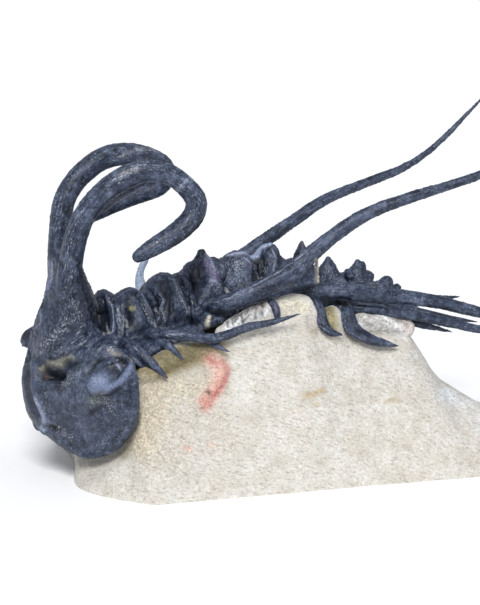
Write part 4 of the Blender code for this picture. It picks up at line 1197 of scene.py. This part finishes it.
def node_pieces(number):
    """The knob or cone of one ring, with the lobes beside it."""
    node, lean = NODES[number - 1], NODE_LEAN[number - 1]
    x, base = node.x - lean * node.height, node.z - node.height
    if number in POINTED_NODES:
        top = cone(x, base, node.height, node.radius_x, node.radius_y, lean)
    else:
        top = blob((x, 0.0, base), (node.radius_x, node.radius_y, node.height), lean)
    return [top] + [blob(*lobe) for lobe in NODE_LOBES.get(number, ())]


def thoracic_segment(number, material):
    segment = SEGMENTS[number - 1]
    spines = NEAR_SPINES[number] + FAR_SPINES[number]
    pieces = [ring_band(segment)] + node_pieces(number) + [tube(spine) for spine in spines]
    skin = Skin(f"ring_{number}", pieces, RING_VOXEL, RING_ROUNDS)
    grain, on_spine = spine_grain(skin.points, body_grain(skin.points), spines)
    skin.carve(BODY_RELIEF)
    height = -SPINE_GROOVES * (1.0 - grooves(grain, size=0.3, seed=number)) * on_spine
    height += SPINE_GRIT * granules(skin.points, size=0.3, seed=number + 50) * on_spine
    height += RING_STREAKS * soft_noise(grain * (0.35, 1.0, 1.0), size=0.3, seed=number + 20)
    height += RING_SWELL * soft_noise(skin.points, size=0.9, seed=number + 30) * (1.0 - on_spine)
    height += RING_GRIT * granules(skin.points, size=0.34, seed=number + 40) * (1.0 - on_spine)
    skin.raise_by(height)
    if number == HAZY_RING:
        away = distance_to(skin.points, smooth_run(FAR_SPINES[number][0], 4)[:, :3])
        skin.stain(HAZE, HAZE_COVER * (1.0 - smooth_step(away, 0.6, 0.9)))
    skin.paint(BODY_STAINS_AND_PAINTED_LIGHT, BODY_FROST)
    dust = joint_dust(skin.points, segment, seed=number + 60) * (1.0 - on_spine)
    cavity = skin.cavity(RING_CAVITY)
    node = f"thoracic_segment_{number}"
    return skin.finish(material, "fossil_shell", node, grain=grain, dust=dust, cavity=cavity)


def pygidium(material):
    """The small tail shield, with two nodes on its axis and a pair of its own spines."""
    rings = []
    for x, top, side, half in smooth_run(PYGIDIUM, 4):
        bottom = side - PYGIDIUM_THICKNESS
        rings.append(smooth_run([
            (x - 0.7, -half, side), (x, -half * 0.55, side + 0.2), (x, -half * 0.3, top - 0.4), (x, 0.0, top),
            (x, half * 0.3, top - 0.4), (x, half * 0.55, side), (x - 0.7, half, side - 0.5),
            (x - 0.6, half * 0.9, bottom - 0.3), (x, 0.0, bottom), (x - 0.6, -half * 0.9, bottom),
            (x - 0.7, -half, side),
        ], 3)[:-1])
    pieces = [loft(rings, *PYGIDIUM_ENDS)]
    pieces += [blob(*node, lean=PYGIDIUM_NODE_LEAN) for node in PYGIDIUM_NODES]
    pieces += [tube(spine) for spine in PYGIDIUM_SPINES]
    skin = Skin("tail_shield", pieces, RING_VOXEL, RING_ROUNDS)
    grain, on_spine = spine_grain(skin.points, body_grain(skin.points), PYGIDIUM_SPINES)
    skin.carve(BODY_RELIEF)
    height = -TAIL_GROOVES * (1.0 - grooves(grain, size=0.3, seed=11)) * on_spine
    height += TAIL_GRIT * granules(skin.points, size=0.4, seed=50) * (1.0 - on_spine)
    skin.raise_by(height)
    skin.paint(BODY_STAINS_AND_PAINTED_LIGHT, BODY_FROST)
    cavity = skin.cavity(RING_CAVITY)
    return skin.finish(
        material, "fossil_shell", "pygidium", grain=grain, dust=cavity * TAIL_DUST, cavity=cavity,
    )


def head_shield():
    """The shield as rings from its edge to its middle in front, and a flat fan behind."""
    half = smooth_run(SHIELD_EDGE, 4)
    far = half[-2:0:-1] * (1.0, -FAR_CHEEK_SHARE, 1.0)
    edge = np.vstack([half, far])
    centre = np.array(HEAD_CENTRE)
    lip = (edge - centre) * (1.0, LIP_SHARE, LIP_SHARE) + centre + (MARGIN_LIP, 0.0, 0.0)
    rings = [lip, edge]
    for share in np.linspace(0.96, 0.06, SHIELD_RINGS):
        ring = (edge - centre) * share
        ring[:, 0] = (edge[:, 0] - centre[0]) * share ** SHIELD_FULLNESS
        ring[:, 0] -= GLABELLA_BULGE * np.exp(-(ring[:, 1] / GLABELLA_HALF_WIDTH) ** 2) * (1 - share ** 4)
        rings.append(ring + centre)
    return loft(rings, SHIELD_BACK, centre - (GLABELLA_BULGE, 0.0, 0.0))


def trunk():
    """The column behind the glabella that splits into the two occipital horns."""
    turns = circle(TRUNK_SIDES)
    rings = [
        np.column_stack([x + half_x * np.cos(turns), half_y * np.sin(turns), np.full(TRUNK_SIDES, z)])
        for z, x, half_x, half_y in smooth_run(TRUNK, 4)
    ]
    return loft(rings, *TRUNK_ENDS)


def head_grain(points):
    """Streaks run slantwise up the face, and upright on the column above it."""
    along, across = slanted_axes(HEAD_STREAK_SLANT)
    face = np.column_stack([points @ along * FACE_STREAK_STRETCH, points @ across, points @ BACK])
    high = points[:, 2:3] > HEAD_STREAK_TURN
    return np.where(high, points[:, [2, 0, 1]], face)


def cephalon(material):
    pieces = [
        head_shield(),
        trunk(),
        tube(NEAR_HORN, 28, 6, blunt=True),
        tube(FAR_HORN, 28, 6, blunt=True),
        blob(*NEAR_EYE_DOME),
        blob(*NEAR_EYE_TOP),
        tube(NEAR_EYE, 20, 6, blunt=True),
        tube(FAR_EYE, 20, 6, blunt=True),
        blob(*CHIN_KNOB),
        tube(NAPE_RIM, 12, 4),
    ]
    skin = Skin("head_and_horns", pieces, HEAD_VOXEL, HEAD_ROUNDS)
    horns = (NEAR_HORN[2:], FAR_HORN[2:])
    grain, on_horn = spine_grain(skin.points, head_grain(skin.points), horns, clear=0.4)
    skin.carve(HEAD_RELIEF)
    from_eye = np.linalg.norm(skin.points - NEAR_EYE_DOME[0], axis=1)
    off_eye = smooth_step(from_eye, *EYE_FADE)
    upper = smooth_step(skin.points[:, 2], *FACE_FADE)
    rough = (0.25 + 0.75 * upper) * off_eye * (1.0 - 0.6 * on_horn)
    height = HEAD_GRIT * granules(skin.points, size=0.36, seed=60) * rough
    height += HEAD_LUMPS * granules(skin.points, size=0.7, seed=64) * rough
    height += HEAD_SWELL * soft_noise(skin.points, size=0.6, seed=61) * (1.0 - 0.5 * on_horn)
    furrows = 1.0 - grooves(grain, size=0.34, seed=62)
    height -= HEAD_GROOVES * furrows * upper * (1.0 - on_horn) * off_eye
    skin.raise_by(height)
    skin.paint(HEAD_STAINS_AND_PAINTED_LIGHT + HORN_STAINS_AND_PAINTED_LIGHT, HEAD_FROST + HORN_SCRATCHES_AND_HIGHLIGHTS)
    cavity = skin.cavity(HEAD_CAVITY)
    return skin.finish(
        material, "fossil_shell", "cephalon", grain=grain, dust=cavity * HEAD_DUST, cavity=cavity,
    )


def rock_sections():
    """The rock as rings across it, from under the head to its broken end behind the tail."""
    rings = []
    for x, top, (near, near_z), near_foot, (far, far_z), far_foot in ROCK:
        flank, across, back = near_foot - near, far - near, far_foot - far
        outline = (
            (near_foot, ROCK_BOTTOM), (near_foot, 0.0), (near + flank * 0.62, near_z * 0.45),
            (near + flank * 0.25, near_z * 0.8), (near, near_z),
            (near + across * 0.12, top + (near_z - top) * 0.25), (near + across * 0.34, top),
            (near + across * 0.65, top - 0.3), (far, far_z), (far + back * 0.5, far_z * 0.6 - 0.8),
            (far_foot, -1.5), (far_foot, ROCK_BOTTOM),
        )
        rings.append([(x, y, z) for y, z in outline])
    return loft(rings, *ROCK_ENDS)


def limestone_matrix(material):
    """The rock, cut level at its base, with the banks of it that still hold the animal."""
    banks = [tube(bank, 16, 6, blunt=True) for bank in ROCK_BANKS]
    skin = Skin("limestone_rock", [rock_sections()] + banks, ROCK_VOXEL, ROCK_ROUNDS)
    near_bank = wear_rock(skin)
    free = smooth_step(to_world(skin.points)[:, 2] / MM, *FOOT_FADE)
    skin.carve(ROCK_RELIEF, ROCK_FANS)
    height = ROCK_SWELL * soft_noise(skin.points, size=2.6, seed=70)
    height += ROCK_LUMPS * soft_noise(skin.points, size=0.9, seed=71)
    height += ROCK_BEDDING * soft_noise(skin.points * (0.3, 0.3, 1.0), size=0.5, seed=72)
    height += BANK_CRUMBLE * soft_noise(skin.points, size=0.8, seed=73) * near_bank
    skin.raise_by(height * free)
    skin.paint(ROCK_STAINS, fans=ROCK_FANS)
    along, across = slanted_axes(-ROCK_DASH_SLOPE)
    grain = np.column_stack([skin.points @ along, skin.points @ across, skin.points @ BACK])
    piece = skin.finish(material, "limestone", "limestone_matrix", grain=grain)
    level_base(piece.data)
    return piece


def wear_rock(skin):
    """Round the rock off, less on its banks and more at its rear, and give each point's share of a bank."""
    worn = skin.blur(skin.points, WORN_ROUNDS)
    away = [distance_to(skin.points, smooth_run(bank, 4)[:, :3]) for bank in ROCK_BANKS]
    near_bank = skin.blur(1.0 - smooth_step(np.min(away, axis=0), *BANK_FADE), MASK_ROUNDS)
    skin.points = worn + (skin.points - worn) * near_bank * BANK_CRISPNESS
    rear = smooth_step(worn[:, 0], *REAR_FADE) * (1.0 - smooth_step(worn[:, 2], *REAR_TOP_FADE))
    skin.points += (skin.blur(worn, WORN_REAR_ROUNDS) - worn) * rear[:, None]
    skin.write_points()
    skin.look()
    return near_bank[:, 0]


def level_base(mesh):
    """Cut the rock off level with the floor and close its base with a flat face."""
    rock = bmesh.new()
    rock.from_mesh(mesh)
    whole = rock.verts[:] + rock.edges[:] + rock.faces[:]
    cut = bmesh.ops.bisect_plane(rock, geom=whole, plane_co=(0, 0, 0), plane_no=(0, 0, 1), clear_inner=True)
    rim = [item for item in cut["geom_cut"] if isinstance(item, bmesh.types.BMEdge)]
    bmesh.ops.triangle_fill(rock, edges=rim, use_beauty=True, normal=(0, 0, -1))
    for edge in rim:
        edge.smooth = False
    rock.to_mesh(mesh)
    rock.free()


class Graph:
    """Short ways to lay out one material's nodes."""

    def __init__(self, name):
        self.material = bpy.data.materials.new(name)
        self.material.use_nodes = True
        self.tree = self.material.node_tree
        self.shader = self.tree.nodes["Principled BSDF"]

    def link(self, source, target):
        self.tree.links.new(source, target)

    def fill(self, socket, value):
        """Link a socket or set its value."""
        if isinstance(value, bpy.types.NodeSocket):
            self.link(value, socket)
        elif socket.type == "RGBA":
            socket.default_value = (*value, 1.0)
        else:
            socket.default_value = value

    def add(self, kind, **inputs):
        node = self.tree.nodes.new(kind)
        for name, value in inputs.items():
            self.fill(node.inputs[name.replace("_", " ").title()], value)
        return node

    def field(self, name, output="Fac"):
        node = self.tree.nodes.new("ShaderNodeAttribute")
        node.attribute_name = name
        return node.outputs[output]

    def place(self, scale):
        """The piece's own coordinates, stretched; a scale of 1 counts in millimetres."""
        source = self.tree.nodes.new("ShaderNodeTexCoord").outputs["Object"]
        return self.stretch(source, [part / MM for part in scale])

    def stretch(self, source, scale):
        node = self.add("ShaderNodeVectorMath", Vector=source)
        node.operation = "MULTIPLY"
        node.inputs[1].default_value = scale
        return node.outputs["Vector"]

    def noise(self, vector, scale, detail=4.0, roughness=0.6):
        node = self.add("ShaderNodeTexNoise", vector=vector, scale=scale, detail=detail)
        node.inputs["Roughness"].default_value = roughness
        return node.outputs["Fac"]

    def ramp(self, factor, *stops):
        node = self.tree.nodes.new("ShaderNodeValToRGB")
        self.link(factor, node.inputs["Fac"])
        points = node.color_ramp.elements
        while len(points) < len(stops):
            points.new(0.5)
        for point, (position, colour) in zip(points, stops):
            point.position = position
            point.color = (*colour, 1.0)
        return node.outputs["Color"]

    def level(self, factor, low, high, floor=0.0, ceiling=1.0):
        """The factor spread from its low and high marks over floor to ceiling."""
        node = self.tree.nodes.new("ShaderNodeMapRange")
        node.interpolation_type = "SMOOTHSTEP"
        self.link(factor, node.inputs["Value"])
        for name, value in (("From Min", low), ("From Max", high), ("To Min", floor), ("To Max", ceiling)):
            node.inputs[name].default_value = value
        return node.outputs["Result"]

    def sum(self, operation, *values):
        node = self.tree.nodes.new("ShaderNodeMath")
        node.operation = operation
        for socket, value in zip(node.inputs, values):
            self.fill(socket, value)
        return node.outputs["Value"]

    def mix(self, factor, first, second, blend="MIX"):
        node = self.tree.nodes.new("ShaderNodeMix")
        node.data_type = "RGBA"
        node.blend_type = blend
        self.fill(node.inputs["Factor"], factor)
        self.fill(node.inputs[6], first)
        self.fill(node.inputs[7], second)
        return node.outputs[2]

    def tint(self, colour, factor, share, tone, blend="MIX"):
        """The colour with a tone laid over it, up to a share, where the factor is high."""
        return self.mix(self.sum("MULTIPLY", factor, share), colour, tone, blend)

    def stained(self, colour, grit, raggedness):
        """The colour under the stains, painted highlights and painted shade laid on the mesh, whose edges the
        grit breaks up.
        """
        ragged = self.sum("MULTIPLY_ADD", grit, raggedness, -raggedness / 2)
        cover = self.level(self.sum("ADD", self.field("cover"), ragged), 0.12, 0.78)
        gritty = self.level(grit, 0.25, 0.75, 0.55, 1.45)
        toned = self.mix(1.0, self.field("stain", "Vector"), gritty, "MULTIPLY")
        return self.mix(cover, colour, toned)

    def bump(self, height, depth, strength=1.0):
        node = self.tree.nodes.new("ShaderNodeBump")
        node.inputs["Strength"].default_value = strength
        node.inputs["Distance"].default_value = depth * MM
        self.link(height, node.inputs["Height"])
        self.link(node.outputs["Normal"], self.shader.inputs["Normal"])


def shell_material():
    """Blue-black fossil shell, mottled and speckled, with frosty scratches, pale sediment, painted shade in
    its hollows, and the stains, painted highlights and painted shade laid on the mesh.
    """
    graph = Graph("fossil_shell_look")
    place = graph.place((1.0, 1.0, 1.0))
    grain = graph.field("grain", "Vector")
    streaks = graph.noise(graph.stretch(grain, (0.7, 3.4, 3.4)), 1.0, 4.0, 0.65)
    mottle = graph.noise(place, 1.3, 6.0, 0.75)
    broad = graph.noise(place, 0.35, 2.0, 0.5)
    tone = graph.sum("MULTIPLY_ADD", streaks, 0.35, graph.sum("MULTIPLY", mottle, 0.65))
    tone = graph.sum("MULTIPLY_ADD", graph.sum("SUBTRACT", broad, 0.5), 0.22, tone)
    colour = graph.ramp(tone, *SHELL_TONES)
    grit = graph.noise(place, 6.0, 3.0, 0.75)
    dots = graph.level(grit, 0.32, 0.44, 0.45, 1.0)
    colour = graph.mix(1.0, colour, dots, "MULTIPLY")
    flecks = graph.level(grit, 0.62, 0.69)
    colour = graph.tint(colour, flecks, 0.75, FLECK)
    # Painted shade: the colour darkens in the mesh's hollows, down to 0.45 of itself in the deepest
    worn = graph.level(graph.field("cavity"), 0.1, 0.9, 1.0, 0.45)
    colour = graph.mix(1.0, colour, worn, "MULTIPLY")
    colour = graph.stained(colour, grit, 0.7)
    scratches = graph.noise(graph.stretch(grain, (1.3, 7.0, 7.0)), 1.0, 4.0, 0.85)
    # Pale scratches where the frost is thick; on the horns' tops they are painted highlights as well
    frost = graph.sum("MULTIPLY_ADD", graph.field("frost"), 0.15, scratches)
    frost = graph.level(graph.sum("MULTIPLY_ADD", grit, 0.35, frost), 0.80, 0.91)
    colour = graph.tint(colour, frost, 0.85, PALE_SCRATCH_AND_HIGHLIGHT)
    crumbs = graph.noise(graph.stretch(grain, (1.2, 5.0, 5.0)), 1.0, 4.0, 0.7)
    dust = graph.sum("MULTIPLY_ADD", crumbs, 0.6, graph.sum("MULTIPLY", graph.field("dust"), 0.45))
    dust = graph.level(dust, 0.5, 0.68)
    colour = graph.tint(colour, dust, 0.8, SEDIMENT)
    graph.link(colour, graph.shader.inputs["Base Color"])
    graph.shader.inputs["Specular IOR Level"].default_value = 0.32
    rough = graph.level(mottle, 0.35, 0.65, 0.30, 0.52)
    rough = graph.sum("MAXIMUM", rough, graph.sum("MULTIPLY", dust, 0.9))
    graph.link(rough, graph.shader.inputs["Roughness"])
    fine = graph.sum("MULTIPLY_ADD", streaks, 0.4, graph.sum("MULTIPLY_ADD", grit, 0.6, mottle))
    graph.bump(fine, 0.06, 0.9)
    return graph.material


def rock_material():
    """Cream limestone with short slanting dashes, dark specks and weathered stains."""
    graph = Graph("limestone_look")
    place = graph.place((1.0, 1.0, 1.0))
    grain = graph.field("grain", "Vector")
    cloud = graph.noise(place, 0.5, 5.0, 0.6)
    colour = graph.ramp(cloud, *ROCK_TONES)
    grit = graph.noise(place, 4.2, 3.0, 0.8)
    colour = graph.mix(1.0, colour, graph.level(grit, 0.3, 0.7, 0.84, 1.14), "MULTIPLY")
    colour = graph.stained(colour, grit, 0.6)
    dashes = graph.noise(graph.stretch(grain, (1.7, 5.5, 3.0)), 1.0, 2.0, 0.6)
    dark = graph.level(dashes, 0.56, 0.67)
    colour = graph.tint(colour, dark, 0.6, DARK_DASH, "MULTIPLY")
    pale = graph.level(dashes, 0.43, 0.33)
    colour = graph.tint(colour, pale, 0.6, PALE_DASH, "MULTIPLY")
    warm = graph.level(graph.noise(graph.stretch(grain, (1.4, 3.4, 2.0)), 1.0, 3.0, 0.7), 0.59, 0.69)
    colour = graph.tint(colour, warm, 0.6, WARM_DASH, "MULTIPLY")
    specks = graph.level(graph.noise(graph.stretch(grain, (4.0, 7.0, 5.0)), 1.0, 2.0, 0.8), 0.63, 0.70)
    colour = graph.tint(colour, specks, 0.65, DARK_SPECK, "MULTIPLY")
    graph.link(colour, graph.shader.inputs["Base Color"])
    graph.link(graph.level(cloud, 0.3, 0.7, 0.78, 0.95), graph.shader.inputs["Roughness"])
    height = graph.sum("MULTIPLY_ADD", dashes, -0.8, graph.sum("MULTIPLY", grit, 0.8))
    graph.bump(graph.sum("ADD", height, graph.noise(place, 2.0, 6.0, 0.7)), 0.12, 0.9)
    return graph.material


def floor_material():
    graph = Graph("pale_floor")
    grain = graph.noise(graph.place((0.02, 0.02, 0.02)), 1.0)
    colour = graph.ramp(grain, *FLOOR_TONES)
    graph.link(colour, graph.shader.inputs["Base Color"])
    graph.shader.inputs["Roughness"].default_value = 0.9
    return graph.material


def add_floor():
    mesh = bpy.data.meshes.new("studio_floor")
    corners = [(x * FLOOR_HALF, y * FLOOR_HALF, 0.0) for x, y in ((-1, -1), (1, -1), (1, 1), (-1, 1))]
    mesh.from_pydata(corners, [], [(0, 1, 2, 3)])
    mesh.materials.append(floor_material())
    floor = bpy.data.objects.new("studio_floor", mesh)
    bpy.context.scene.collection.objects.link(floor)


def add_lights():
    world = bpy.data.worlds.new("studio")
    world.use_nodes = True
    world.node_tree.nodes["Background"].inputs["Color"].default_value = (*SKY_COLOUR, 1.0)
    world.node_tree.nodes["Background"].inputs["Strength"].default_value = SKY_STRENGTH
    bpy.context.scene.world = world
    for name, angles, spread, strength in LAMPS:
        lamp = bpy.data.lights.new(name, "SUN")
        lamp.energy = strength
        lamp.angle = math.radians(spread)
        light = bpy.data.objects.new(name, lamp)
        light.rotation_euler = [math.radians(angle) for angle in angles]
        bpy.context.scene.collection.objects.link(light)


def add_camera():
    """The photograph's view, leaned with the animal."""
    eye = Vector(VIEW_AIM) + Vector(BACK) * VIEW_DISTANCE
    turn = Matrix((RIGHT, UP, BACK)).transposed()
    stand = (place_matrix() @ Matrix.Translation(eye)).translation
    lens = bpy.data.cameras.new("photo_view")
    lens.sensor_width = SENSOR
    lens.lens = SENSOR * VIEW_DISTANCE * PIXELS_PER_MM / PICTURE_HEIGHT
    lens.clip_start = 0.01
    camera = bpy.data.objects.new("photo_view", lens)
    leaned = (place_matrix().to_3x3() * (1 / MM)) @ turn
    camera.matrix_world = Matrix.Translation(stand) @ leaned.to_4x4()
    bpy.context.scene.collection.objects.link(camera)
    bpy.context.scene.camera = camera


def main():
    bpy.context.scene.view_settings.view_transform = "Standard"
    add_camera()
    add_floor()
    add_lights()
    shell = shell_material()
    cephalon(shell)
    for number in range(1, len(SEGMENTS) + 1):
        thoracic_segment(number, shell)
    pygidium(shell)
    limestone_matrix(rock_material())


main()
